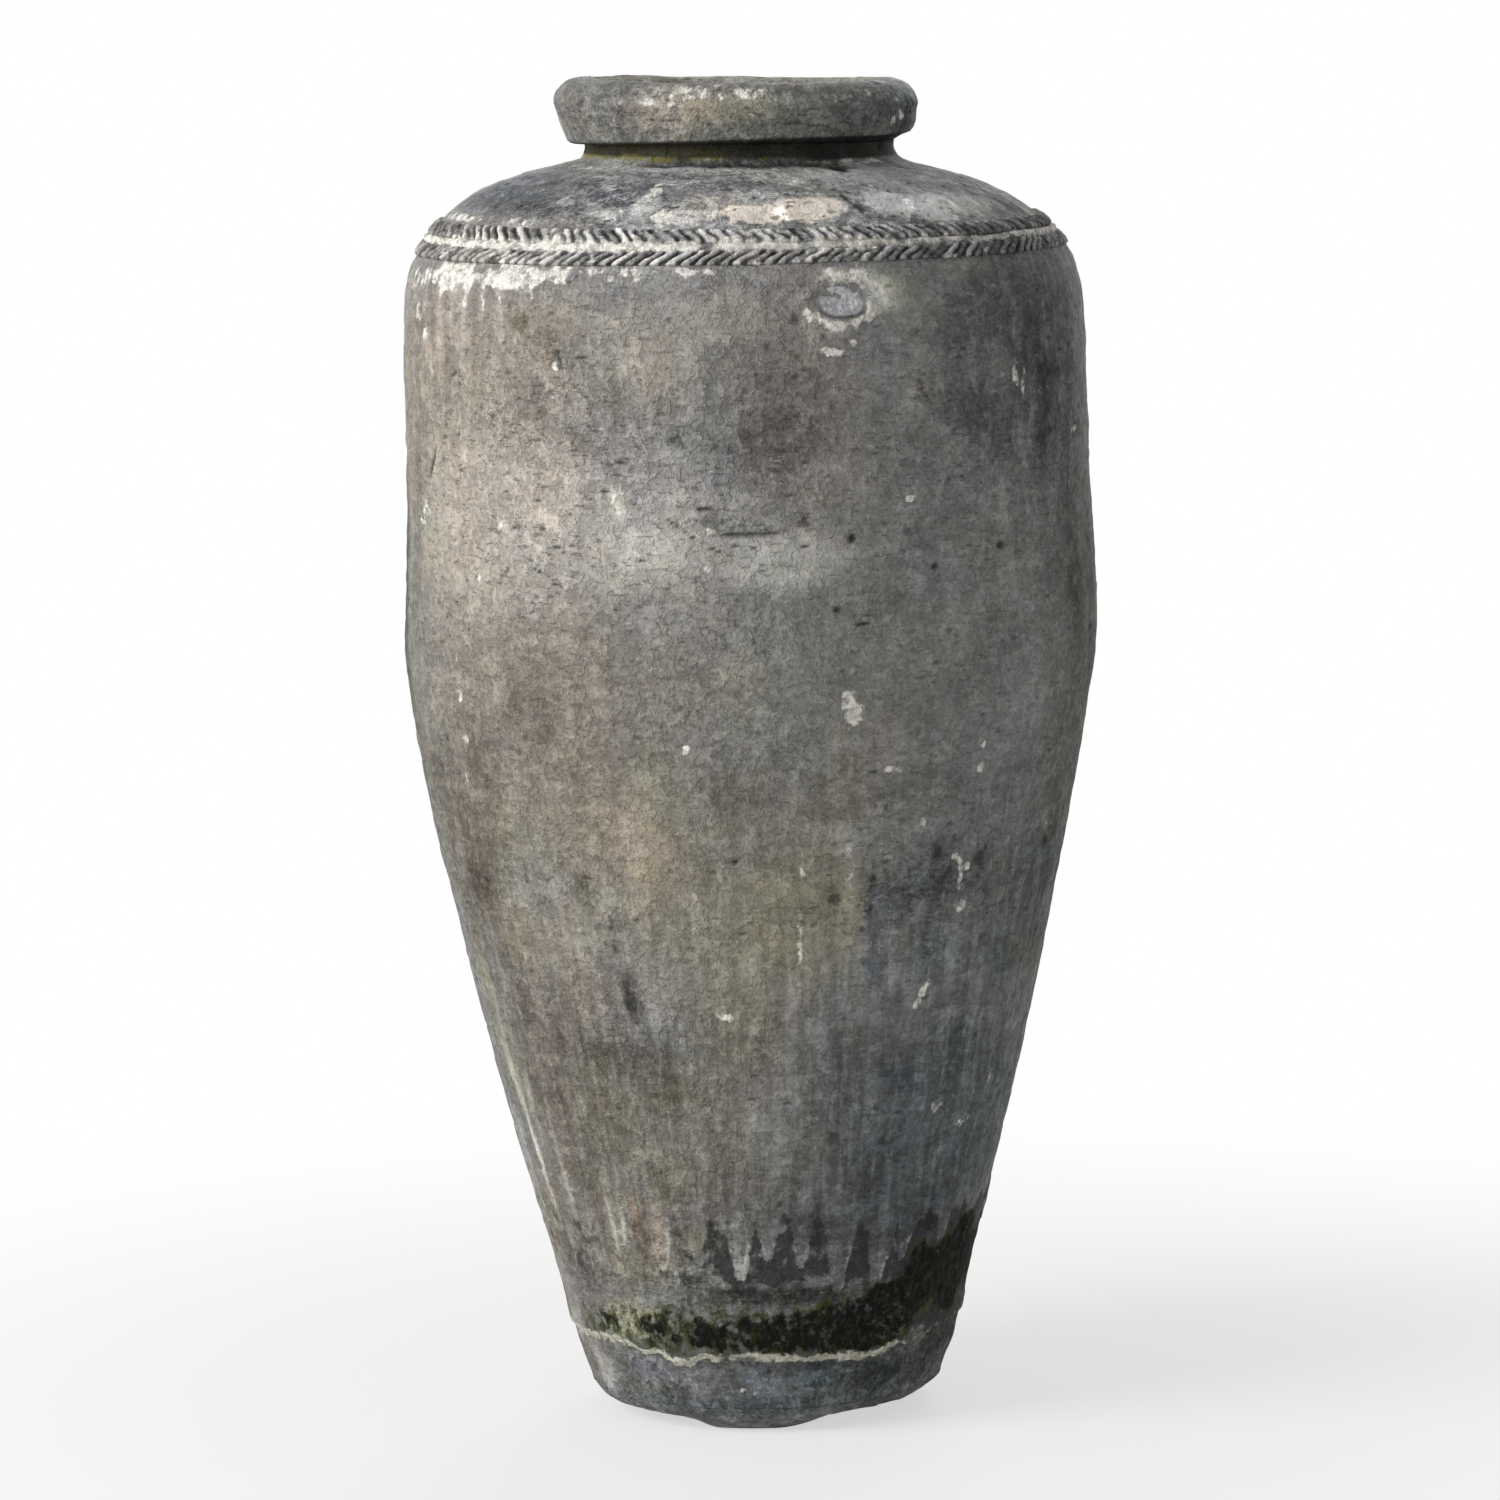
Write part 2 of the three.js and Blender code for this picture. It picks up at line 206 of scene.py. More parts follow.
relief = {
    "footLine": [(-180, 62), (-130, 66), (-100, 62), (-71, 62), (-54, 64.5), (-45, 63.5), (-39, 60),
        (-30.5, 58), (-28.5, 54.5), (-23, 54.5), (-19, 58.5), (-13.8, 58), (-5.8, 60.5), (-0.5, 58), (18, 56),
        (34, 55), (40, 59), (48.8, 60), (56, 63), (72, 67), (95, 66), (130, 58), (180, 62)],
    "footWaver": [(2.6, 11, 31, 3, (1, 1, 4))],
    "glazeLip": {"rise": 2.0, "below": 1.2, "above": 1.8, "fades": 50},
    "crease": {"height": 650.5, "width": 1.5, "depth": 1.6, "from": -3, "to": 5},
    "creaseLip": {"rise": 0.7, "above": 6, "width": 4},
    "faintCrease": {"height": 652, "depth": 0.5, "width": 5, "waver": [(9, 90, 63)]},
    "neckCrack": {"height": 896.2, "width": 1.3, "depth": 1.5, "from": -36, "to": 38},
    "crackWaver": [(1.4, 26, 61, 2)],
    # drips: azimuth and height of the tip, half width, length, how pale
    "drips": [(-62.5, 158, 3, 50, 0.3), (-54, 163, 2.6, 36, 0.5), (-39, 138, 5, 46, 0.7),
        (-27, 121, 6.6, 60, 0.8), (-17.5, 127, 5, 34, 0.3), (-6, 117, 5, 40, 1.1), (1, 131, 4, 24, 0.3),
        (9.3, 125, 5, 28, 0.4), (19.8, 104, 6, 50, 0.5), (31, 103, 4.8, 50, 0.6), (38.4, 123, 4.6, 36, 0.4),
        (52, 128, 4.6, 30, 0.3), (66, 118, 4.5, 40, 0.4), (84, 131, 4, 46, 0.6), (97, 112, 5, 52, 0.9),
        (113, 126, 3.6, 36, 0.3), (128, 109, 4.6, 50, 0.8), (141, 133, 3.4, 30, 0.4),
        (158, 118, 4.4, 44, 0.7), (171, 127, 3.6, 34, 0.4), (-174, 108, 5, 54, 0.9),
        (-157, 129, 3.8, 36, 0.3), (-141, 116, 4.4, 46, 0.8), (-122, 131, 3.6, 34, 0.5),
        (-106, 113, 5, 50, 0.8), (-88, 128, 4, 40, 0.4), (-74, 139, 3.4, 38, 0.5)],
    "dripForm": {"highest": 230, "waver": [(3.0, 10, 51, 4, (1, 1, 2.5))], "widening": 0.2, "edge": 1.8,
                 "paleEdge": 0.95, "paleInside": 0.42, "rise": 0.45, "edgeRise": 0.6},
    # pits: azimuth, height, half width, half height, tilt, depth
    "pits": [(16.9, 645, 3.2, 3, 0, 2.2), (18.2, 585.8, 5, 0.88, 0, 1.6), (-3.5, 424, 2.4, 2, 20, 1.6),
        (-5.2, 640, 4, 0.82, -20, 1), (-17.5, 633.5, 5, 0.82, -12, 1), (-8.9, 649, 4, 0.82, -25, 1),
        (-12.1, 658.5, 6, 0.75, -32, 1), (-35.5, 652.2, 2.4, 1.09, 0, 1.2), (-41.7, 652.6, 2.2, 1.09, 0, 1.1),
        (-32.5, 641, 4.6, 0.75, -10, 1), (-36.7, 624.7, 6, 0.75, -25, 1), (-36, 672.6, 3.6, 0.95, 10, 1.2),
        (-21, 699, 4.6, 0.88, 12, 1.1), (-64.8, 692, 2, 11, -30, 1.6), (-31.3, 768.5, 1.6, 6, 20, 1.4),
        (-27, 770, 6, 0.75, 5, 1), (-56, 755, 4, 0.88, 25, 1), (-2, 651.3, 8, 0.82, 5, 1),
        (0.5, 640, 5, 0.82, 10, 0.8), (2, 630, 4, 0.75, 0, 0.8), (-26, 674, 4, 0.82, -20, 0.8),
        (-33, 616, 3, 0.75, 0, 0.8), (-7, 668, 5, 0.82, 0, 0.8), (45, 632, 3.4, 3, 0, 1.4),
        (14, 597, 3, 2, 0, 1), (31, 622, 2.6, 2.2, 0, 1), (9, 641, 4, 0.95, -15, 1),
        (34, 893, 6, 2.6, 0, 2.2)],
    # the wall isn't quite round: height, millimetres out all round, further out to the right
    "outOfTrue": [(20, 0, 0), (50, 0, 0), (80, -2.2, 0.4), (130, -2.5, 0), (190, -2, -0.7), (250, -0.4, -0.4),
        (335, -1.4, -1.3), (365, -2, -1.4), (420, -0.8, -1.4), (460, -0.1, -1.3), (510, -0.3, -0.3),
        (563, 0, 1.3), (600, 0.1, 2.2), (680, 0.1, 2.2), (733, 1, 2), (762, 1.6, 1.4), (800, 0.7, 0.7),
        (822, 0.6, 0.6), (835, -0.6, 0.6), (856, -0.8, -1), (885, -0.8, 0), (893, -2, 0), (897, -2, 1),
        (903, -1, 0.5), (908, 0, 0)],
    # lumps of four sizes, and the level marks of wiping
    "roughness": [(1.0, 130, 11), (0.6, 46, 12), (0.36, 15, 13), (0.28, 6.5, 14), (0.3, 9, 21, 2, (9, 9, 1))],
    "flakes": {"size": 34, "step": 0.55},
    # small pits and short nicks everywhere; half is their half width, counted in cells
    "scattered": [
        {"size": 22, "stretch": (1, 1, 1), "share": 0.45, "half": 0.13, "depth": 0.9, "seed": 401},
        {"size": 10, "stretch": (2.2, 2.2, 0.8), "share": 0.4, "half": 0.2, "depth": 0.8, "seed": 421}],
    # crusts of lime and clay: azimuth, height, half width, half height, tilt, thickness
    "crusts": [(-52, 818, 46, 8, 0, 1.1), (-28, 820, 34, 6, 0, 0.9), (-74, 815, 30, 8, 0, 0.8),
        (-6, 826, 26, 4, 0, 0.7), (12, 826, 28, 5, 0, 0.7), (16, 526, 5, 7, 12, 0.8),
        (-52, 858, 40, 4, 0, 0.8)],
    "lugRing": {"azimuth": 16, "height": 804.5, "halfWidth": 23, "halfHeight": 14.5, "thickness": 1.7,
                "width": 3.4, "waver": [(1.6, 9, 73, 2)]},
    "lineBead": {"height": 843.3, "halfHeight": 2.0, "rise": 2.8},
    "cove": {"height": 903.5, "width": 4, "depth": 1.2},
    "fullDome": {"from": 855, "whole": 870, "fading": 882, "to": 893, "rise": 1.1},
}


def footLineHeight(azimuth, place):
    # where the glaze ends above the bare foot
    knots, heights = np.array(relief["footLine"], float).T
    return np.interp(aroundJar(azimuth, 0), knots, heights) + clouds(place, relief["footWaver"])


def dripMasks(azimuth, height, place):
    # where the drips cover the skin, and how pale they are: each is a wedge that narrows downwards to a
    # round tip, and its edges stand out pale
    form = relief["dripForm"]
    body, tips = np.zeros_like(height), np.zeros_like(height)
    if height.min() > form["highest"]:
        return body, tips
    for tipAzimuth, tipHeight, halfWidth, length, paleness in relief["drips"]:
        across = alongWall(azimuth, tipAzimuth, height)
        near = ((np.abs(across) < 5 * halfWidth + 30) & (height > tipHeight - 12)
                & (height < tipHeight + 2 * length))
        if not near.any():
            continue
        up = height[near] - tipHeight
        aside = across[near] + clouds(place[near], form["waver"])
        width = halfWidth / 2 + form["widening"] * np.maximum(up, 0)
        rounding = np.sqrt(np.clip(1 - (1 - 2 * up / halfWidth) ** 2, 0, 1))
        reach = np.abs(aside) / np.maximum(width * np.where(up < halfWidth / 2, rounding, 1), 0.01)
        inside = smooth(1.25, 0.8, reach) * (up > 0)
        broken = smooth(-1.0, 0.6, np.sign(aside) + 1.2 * cloud(place[near], 20, 53))
        edge = bell((reach - 0.85) * width, 0, form["edge"]) * (up > 0) * broken
        fill = form["paleInside"] * inside * smooth(0.9 * length, 0, up)
        pale = np.maximum(form["paleEdge"] * edge, fill) * smooth(length, 0.3 * length, up) * paleness
        body[near] = np.maximum(body[near], inside)
        tips[near] = np.maximum(tips[near], pale)
    return body, tips


def scattered(place, hollows):
    # small round or flattened hollows in a share of the cells
    away, chance = cells(place, hollows["size"], hollows["seed"], hollows["stretch"])
    return smooth(hollows["half"], hollows["half"] * 0.45, away) * (chance < hollows["share"])


def scatteredDepth(place):
    # millimetres into the skin
    return sum(hollows["depth"] * scattered(place, hollows) for hollows in relief["scattered"])


def crackShape(azimuth, height, place, crack, width, above=0):
    # 1 along a crack that wavers about its own height, or a little above it, fading at both ends
    level = crack["height"] + clouds(place, relief["crackWaver"])
    first, last = crack["from"], crack["to"]
    return (between(aroundJar(azimuth, 0), first - 3, first + 2, last - 2, last + 3)
            * bell(height, level + above, width))


def fromLugRing(azimuth, height, place):
    # millimetres out from the pale ring round the lug, less than 0 inside it
    ring = relief["lugRing"]
    across = alongWall(azimuth, ring["azimuth"], height)
    reach = np.hypot(across / ring["halfWidth"], (height - ring["height"]) / ring["halfHeight"])
    return (reach - 1) * ring["halfHeight"] + clouds(place, ring["waver"])


def skinRelief(azimuth, height, place):
    # millimetres out from the smooth form
    knots, allRound, toRight = np.array(relief["outOfTrue"], float).T
    rise = np.interp(height, knots, allRound)
    rise += np.interp(height, knots, toRight) * np.sin(np.radians(azimuth))
    rise += clouds(place, relief["roughness"])
    flakes = relief["flakes"]
    rise += flakes["step"] * smooth(-0.03, 0.05, cloud(place, flakes["size"], 23, octaves=4))
    line, lip = footLineHeight(azimuth, place), relief["glazeLip"]
    rise += lip["rise"] * between(height, line - lip["below"], line + lip["above"], line, line + lip["fades"])
    for crack in (relief["crease"], relief["neckCrack"]):
        rise -= crack["depth"] * crackShape(azimuth, height, place, crack, crack["width"])
    lip = relief["creaseLip"]
    rise += lip["rise"] * crackShape(azimuth, height, place, relief["crease"], lip["width"], lip["above"])
    faint = relief["faintCrease"]
    broken = smooth(-0.25, 0.35, cloud(place, 45, 64))
    level = faint["height"] + clouds(place, faint["waver"])
    rise -= faint["depth"] * broken * bell(height, level, faint["width"])
    cove = relief["cove"]
    rise -= cove["depth"] * bell(height, cove["height"], cove["width"])
    bead = relief["lineBead"]
    broken = smooth(-0.6, 0.1, cloud(place, 18, 67, octaves=2))
    rise += bead["rise"] * broken * bell(height, bead["height"], bead["halfHeight"])
    dome = relief["fullDome"]
    rise += dome["rise"] * between(height, dome["from"], dome["whole"], dome["fading"], dome["to"])
    body, tips = dripMasks(azimuth, height, place)
    rise += relief["dripForm"]["rise"] * body + relief["dripForm"]["edgeRise"] * tips
    rise -= spots(azimuth, height, place, relief["pits"], ragged=0.2, soft=0.45)
    rise -= scatteredDepth(place)
    crumbly = 0.6 + 0.9 * cloud(place, 5, 71, octaves=2)
    rise += crumbly * spots(azimuth, height, place, relief["crusts"], ragged=0.5, soft=0.5)
    ring = relief["lugRing"]
    rise += ring["thickness"] * bell(fromLugRing(azimuth, height, place), 0, ring["width"])
    return rise


# Stains and tones, worked out at each point of the skin and carried as attributes.
# Stains are listed by how soft their edges are. Each is: azimuth, height, half width, half height, then how
# many stops lighter, how much warmer (less than 0 is bluer) and how much greener (less than 0 is pinker);
# what is left out at the end is 0.

stains = {
    0.9: [(-54, 748, 115, 95, 0.1, 1), (-40, 540, 115, 85, -0.2, 1), (12, 575, 120, 100, 0, 0.25, 0.25),
          (56, 560, 90, 110, 0.3, 0, 0.25), (74, 470, 60, 150, -0.9, 0.25, 0.5),
          (-80, 560, 60, 150, -0.2, 0.25, 0.25), (-44, 798, 4, 24, 0.4)],
    0.8: [(-46, 643, 125, 52, 0.6, 0.1), (10, 752, 95, 80, 0.2, 0.5), (60, 735, 66, 120, -0.7, 0, 0.25),
          (-62, 432, 54, 66, -0.6, 0.75, 0.25), (-28, 440, 70, 60, -0.1, 0.5),
          (44, 355, 110, 100, 0, 0, 0.25), (-50, 275, 74, 90, -0.4, 0.75, 0.25),
          (-8, 236, 84, 84, -0.3, 0.25, 0.25), (42, 205, 92, 84, -0.9, -0.5, 0.25),
          (-50, 138, 84, 44, -0.4, 1, 0.25), (0, 930, 300, 30, -0.2, 0.25, 0.5), (0, 876, 400, 20, 0.4),
          (-48, 806, 3, 16, 0.4)],
    0.7: [(-4, 378, 92, 84, 0.1, 0.75, 0.5), (-28, 692, 50, 24, 0.1, 0.25, -0.25),
          (-14, 638, 46, 22, 0.6, 0.25), (-10, 674, 26, 14, 0.4, 0.25, -0.25), (8, 634, 46, 20, 0.8),
          (6, 742, 36, 44, -0.4), (5, 700, 44, 22, -0.1, 0, -0.25), (23, 770, 34, 34, 0.1, -0.25),
          (24, 716, 26, 26, -0.2, -0.25, 0.25), (32, 678, 34, 22, -0.1, -0.25),
          (40, 722, 30, 24, -0.8, -0.25), (57, 745, 18, 64, -0.5, 0, -0.25), (44, 786, 40, 26, -0.3),
          (67, 700, 22, 100, -0.5), (68, 590, 16, 34, -1, 0.25), (-15, 775, 26, 36, 0.3, 0.5),
          (-66, 795, 26, 20, -0.3, 0.25, -0.5), (-51, 495, 18, 28, -0.4, 0.25, -0.25),
          (-62, 430, 24, 40, -0.1, 0.25, -0.5), (-60, 398, 20, 14, -0.7, 0.5),
          (-70, 350, 14, 40, -0.2, 0.5, 0.25), (-45, 440, 28, 36, 0.1, 0, 0.5),
          (-46, 365, 40, 24, 0.3, 0.5, 0.25), (-20, 435, 18, 34, 0.5, 0.25, -0.25), (8, 410, 26, 50, -0.1),
          (-2, 475, 26, 22, -0.3, 0.25, 0.25), (14, 465, 40, 24, 0, 0.25), (34, 465, 30, 30, -0.2, 0, 0.25),
          (27, 396, 14, 20, -0.2, -0.25), (36, 402, 16, 24, -0.3, 0, 0.25), (46, 400, 16, 24, -0.5, 0, 0.25),
          (60, 402, 26, 30, -0.3, -0.25, 0.5), (42, 350, 50, 24, -0.3, -0.25, 0.25), (30, 318, 30, 26, 0.3),
          (10, 330, 36, 24, 0.1, -0.25, -0.25), (-36, 322, 24, 22, -0.2, 0.5, -0.25),
          (-50, 300, 26, 24, -0.4, 0.25, -0.5), (-52, 235, 20, 40, -0.2, 0.25, -0.25),
          (-30, 284, 36, 16, -0.6, 0.25, 0.25), (-32, 225, 36, 36, -0.1, 0.25, 0.25),
          (-12, 240, 30, 40, 0, 0.25, 0.25), (2, 250, 24, 40, 0.5, 0, -0.25), (-6, 184, 30, 24, -0.4, 0.25),
          (12, 210, 20, 30, 0.4, 0.25), (28, 236, 34, 30, 0.3, 0, -0.25), (22, 185, 36, 26, -0.1),
          (48, 170, 34, 30, -0.2), (52, 240, 34, 34, 0, 0, 0.5), (68, 215, 20, 50, -0.3, -0.25, 0.5),
          (66, 290, 24, 40, 0.1), (-50, 150, 36, 22, 0.3, -0.5), (-56, 112, 30, 14, -0.4, -0.25),
          (-60, 40, 20, 16, 1.5, 0.25, -1), (-20, 40, 20, 14, 0.8, 0, -1.25),
          (0, 40, 22, 14, 0.7, -0.5, -1.25), (38, 40, 26, 14, -0.8, -0.5, -0.25),
          (58, 44, 20, 16, -0.8, -0.25), (-66, 928, 30, 16, -0.3, 0.25, -0.25),
          (-24, 930, 26, 16, 0.5, 0.75, -0.5), (20, 928, 30, 14, 0.3), (46, 932, 26, 14, -0.3, -0.25),
          (72, 926, 24, 20, -1.6, -1, 1.25), (-54.5, 178, 3, 18, 0.8), (-46, 165, 5, 20, -0.2, 0.5, -0.5)],
    0.6: [(0, 44, 300, 26, -1, 0, 1), (-34, 660, 20, 14, 0.2, 0.25), (-40, 600, 30, 20, 0, 0, -0.25),
          (30, 620, 26, 26, -0.1, -0.25), (20, 505, 26, 30, 0.1, 0.25), (0, 530, 26, 30, 0.1, 0, 0.25),
          (44, 560, 24, 30, -0.4), (50, 460, 24, 26, -0.3), (-38, 530, 24, 26, -0.3),
          (10, 290, 20, 26, 0.1, -0.25, -0.25), (-20, 260, 18, 20, -0.4, 0.5, 0.25),
          (44, 300, 24, 24, -0.1, 0, 0.25), (56, 330, 20, 24, -0.5, -0.25, 0.5),
          (-44, 200, 20, 24, -0.2, 0, 0.25), (-22, 190, 16, 20, -0.2, 0.5, 0.25),
          (28, 800, 18, 20, 0.2, 0.25, 0.5), (-4, 800, 30, 18, 0.2, 0.25, 0.25),
          (-28, 800, 30, 16, 0.1, 0.25), (60, 882, 40, 8, -0.4, 0, 0.25), (-72, 60, 26, 30, 0.5, 0.5, -0.5),
          (-78, 160, 20, 60, 0.5, 0, 0.5), (-40.8, 154, 2, 20, 0.9), (-37, 158, 1.6, 22, 0.8),
          (-33, 164, 5, 16, -0.4, 1, -0.75), (-30, 893, 70, 3, 0.7), (36, 890, 60, 3.5, 0.5),
          (78, 590, 14, 60, -0.9, 0, 0.5), (-33, 778, 10, 14, -0.25, 0.5), (-40, 80, 34, 14, 0.9, 0.5, 1.5),
          (50, 320, 6, 26, 0.35), (-10, 606, 28, 18, 0.15, 0.1), (-10, 222, 34, 44, 0.1, 0.1),
          (-58, 405, 24, 34, -0.1, 0.1), (-52, 28, 24, 12, 0.15)],
    0.5: [(57, 722, 10, 26, -0.4), (-73, 645, 12, 60, -0.4, -0.25, 0.25), (-46, 722, 12, 18, -0.1),
          (-21, 672, 7, 12, 0.6, 0.25, 0.25), (-32, 403, 10, 12, -0.4, 0, 0.25), (17, 410, 8, 36, 0.4),
          (70, 380, 12, 46, -0.5, -0.5, 0.5), (-25, 327, 7, 18, -1, 0.25, 0.25),
          (-34, 112, 36, 12, 0, 0, 0.5), (2, 104, 60, 7, -1.9, 0, 1), (-38, 46, 18, 10, 0.9, -0.25, -1.25),
          (16, 44, 18, 12, -0.2, -0.75), (0, 22, 90, 7, -0.2, -0.5, -0.25), (-62, 874, 66, 12, -1, -0.5),
          (-30, 880, 34, 9, -0.6, -0.25, -0.25), (-8, 884, 26, 6, -0.1), (-6, 870, 20, 6, 0.4, 0.5),
          (24, 886, 44, 6, 0.3, 0, 0.25), (72, 866, 16, 12, -1.3, -0.5, 0.25), (-74, 860, 30, 4, 0, 0, 0.25),
          (-44, 934, 20, 12, -0.4, 0, -0.25), (-2, 934, 26, 12, 0.5, 0.5, 0.25),
          (-16, 480, 22, 30, 0, 0, 0.5), (36, 150, 20, 14, -0.4), (12, 155, 16, 14, -0.7, 0, 0.25),
          (-14, 152, 14, 12, -0.2, 0.25, 0.5), (36, 790, 18, 20, -0.3), (-24, 868, 20, 8, -0.1),
          (16, 878, 24, 5, -0.1, 0.25, 0.25), (-50, 862, 26, 5, -0.4, -0.25, -0.25),
          (40, 824, 26, 6, 0.3, 0.25, 0.5), (24, 818, 14, 6, 0.2, 0.25, 0.5),
          (-84, 600, 16, 80, -0.9, -0.25, 1.25), (-81, 500, 10, 50, -0.4, 0, 0.75),
          (70, 75, 40, 26, -1.6, 0, 0.5), (30, 60, 60, 5, -0.2, 0, 0.25), (-42, 866, 34, 3, -0.4, -0.3),
          (-52, 872, 26, 2, -0.4, -0.3), (-66, 880, 30, 1.8, 0.7), (-34, 886, 24, 1.6, 0.6),
          (-4, 888, 22, 1.8, -0.6, -0.2), (-39, 793, 6, 9, -0.6, 0.7), (21, 394, 2.6, 24, -0.5),
          (41, 440, 2.4, 34, -0.35), (24, 470, 14, 5, -0.3), (27, 318, 12, 10, -0.3, -0.2),
          (30, 262, 14, 9, -0.4, -0.2), (46, 282, 10, 16, -0.4, -0.3, 0.4), (17, 375, 3, 60, 0.2),
          (-50, 866, 30, 8, -0.25), (-27, 146, 6.5, 26, 0.4, 0.5, -0.5), (-33, 138, 4, 22, -0.4, 0.3, -0.3),
          (-22, 140, 5, 20, -0.4), (-13, 135, 5, 20, -0.4), (-39.5, 150, 3.5, 20, 0.4),
          (-45, 142, 4, 16, -0.3), (-118, 520, 40, 70, -0.3, 0.2, 0.2), (110, 300, 30, 70, 0.3, 0, 0.2),
          (-33, 856, 22, 7, -0.25)],
    0.4: [(-11, 718, 10, 9, -0.3, 0, 0.5), (-12, 738, 10, 8, -0.2, 0, 0.5), (-21, 742, 8, 10, -0.3, 0, 0.75),
          # (-8, 657) darkens along the crease as a painted shadow
          (-22, 760, 8, 6, -0.2, 0, 0.5), (-2, 775, 8, 20, -0.2, 0, 0.25), (-8, 657, 16, 5, -0.5),
          (36, 540, 10, 20, -0.2), (46, 600, 14, 16, 0.2), (48, 660, 16, 16, 0.25), (36, 760, 10, 20, -0.3),
          (28, 738, 12, 10, 0.25), (46, 760, 12, 16, 0.3), (12, 790, 10, 14, 0.3, 0.2),
          (-36, 740, 14, 16, -0.2), (-52, 705, 14, 14, 0.2), (-30, 715, 10, 8, -0.25, 0, 0.3),
          (112, 770, 60, 40, -0.4), (140, 690, 70, 30, 0.4, 0.3), (168, 560, 50, 60, -0.3, 0.3),
          (-140, 330, 40, 80, 0.3), (-170, 780, 50, 26, -0.4, -0.2), (-120, 800, 40, 20, 0.3, 0.2),
          (-150, 870, 60, 9, -0.5, -0.2)],
    0.35: [(32, 395, 40, 24, -0.4, -0.25), (56, 400, 40, 26, -0.2), (14, 438, 20, 10, 0.2),
          (5, 505, 12, 8, -0.25), (10, 480, 14, 6, -0.25), (-2, 560, 16, 10, 0.2, 0.2),
          (22, 600, 16, 10, -0.2), (-150, 640, 60, 30, 0.45, 0.3), (150, 360, 36, 60, -0.5, -0.3, 0.2)],
    0.3: [(5, 745, 34, 46, -0.1), (4, 712, 38, 24, -0.3), (10, 385, 42, 58, 0.1, 0.25, 0.25),
          (55, 866, 22, 8.5, 0.8), (15, 823.5, 15, 5, 0.6, 0.25), (-36, 660, 16, 8, 0.2),
          (-58, 655, 18, 8, 0.2), (-8, 648, 22, 7, 0.2), (-17, 637, 20, 12, 0.1), (4, 640, 18, 8, 0.1),
          (-5, 710, 12, 60, -0.2, -0.2), (130, 866, 60, 8, 0.5, 0.1), (-95, 868, 30, 8, 0.4)],
    0.25: [(33, 869, 20, 8, 1.1), (43, 866, 24, 9.5, 1.1), (-11, 862, 14, 4.5, 1, 0.2),
          (22.4, 365, 9, 44, -0.3, -0.5, -0.25), (17.2, 365, 10, 40, 0.15, 0.1, 0.1), (47, 862, 42, 11, 0.3)],
    0.12: [(3, 863.5, 22, 6, 1.35, 0.6), (14, 866, 26, 7.5, 1.35, 0.75, -0.25)],
}
# stains that lean: tilt in degrees, softness, then as above
leaningStains = [
    (4, 0.5, -68, 280, 10, 60, 0.4, 0, 0.5), (4, 0.5, -62, 240, 10, 56, 0.3, 0, 0.25),
    (4, 0.4, 39, 878, 24, 4, 0.2), (3, 0.9, -53, 796, 5, 30, 0.5, 0.2), (4, 0.9, -61, 790, 6, 34, 0.6, 0.2),
    (6, 0.9, -66, 786, 6, 30, 0.6, 0.2), (4, 0.8, -57, 804, 3, 22, 0.5),
    (4, 0.8, -66.5, 236, 4, 44, 0.8, 0.1), (4, 0.7, -64.5, 188, 4, 34, 1.2, 0.1),
    (-25, 0.4, -20, 869, 11, 9, 0.9, 0, 0.4), (30, 0.4, 24.5, 868, 3, 9, -0.8),
    (-6, 0.5, -30, 872, 20, 2.4, -0.5, -0.3), (14, 0.5, 44, 874, 16, 2.4, -0.4),
    (20, 0.5, 60, 869, 14, 2, -0.5), (-10, 0.5, 6, 876, 16, 1.6, 0.6), (10, 0.5, 33, 356, 10, 16, -0.35, -0.2)
]

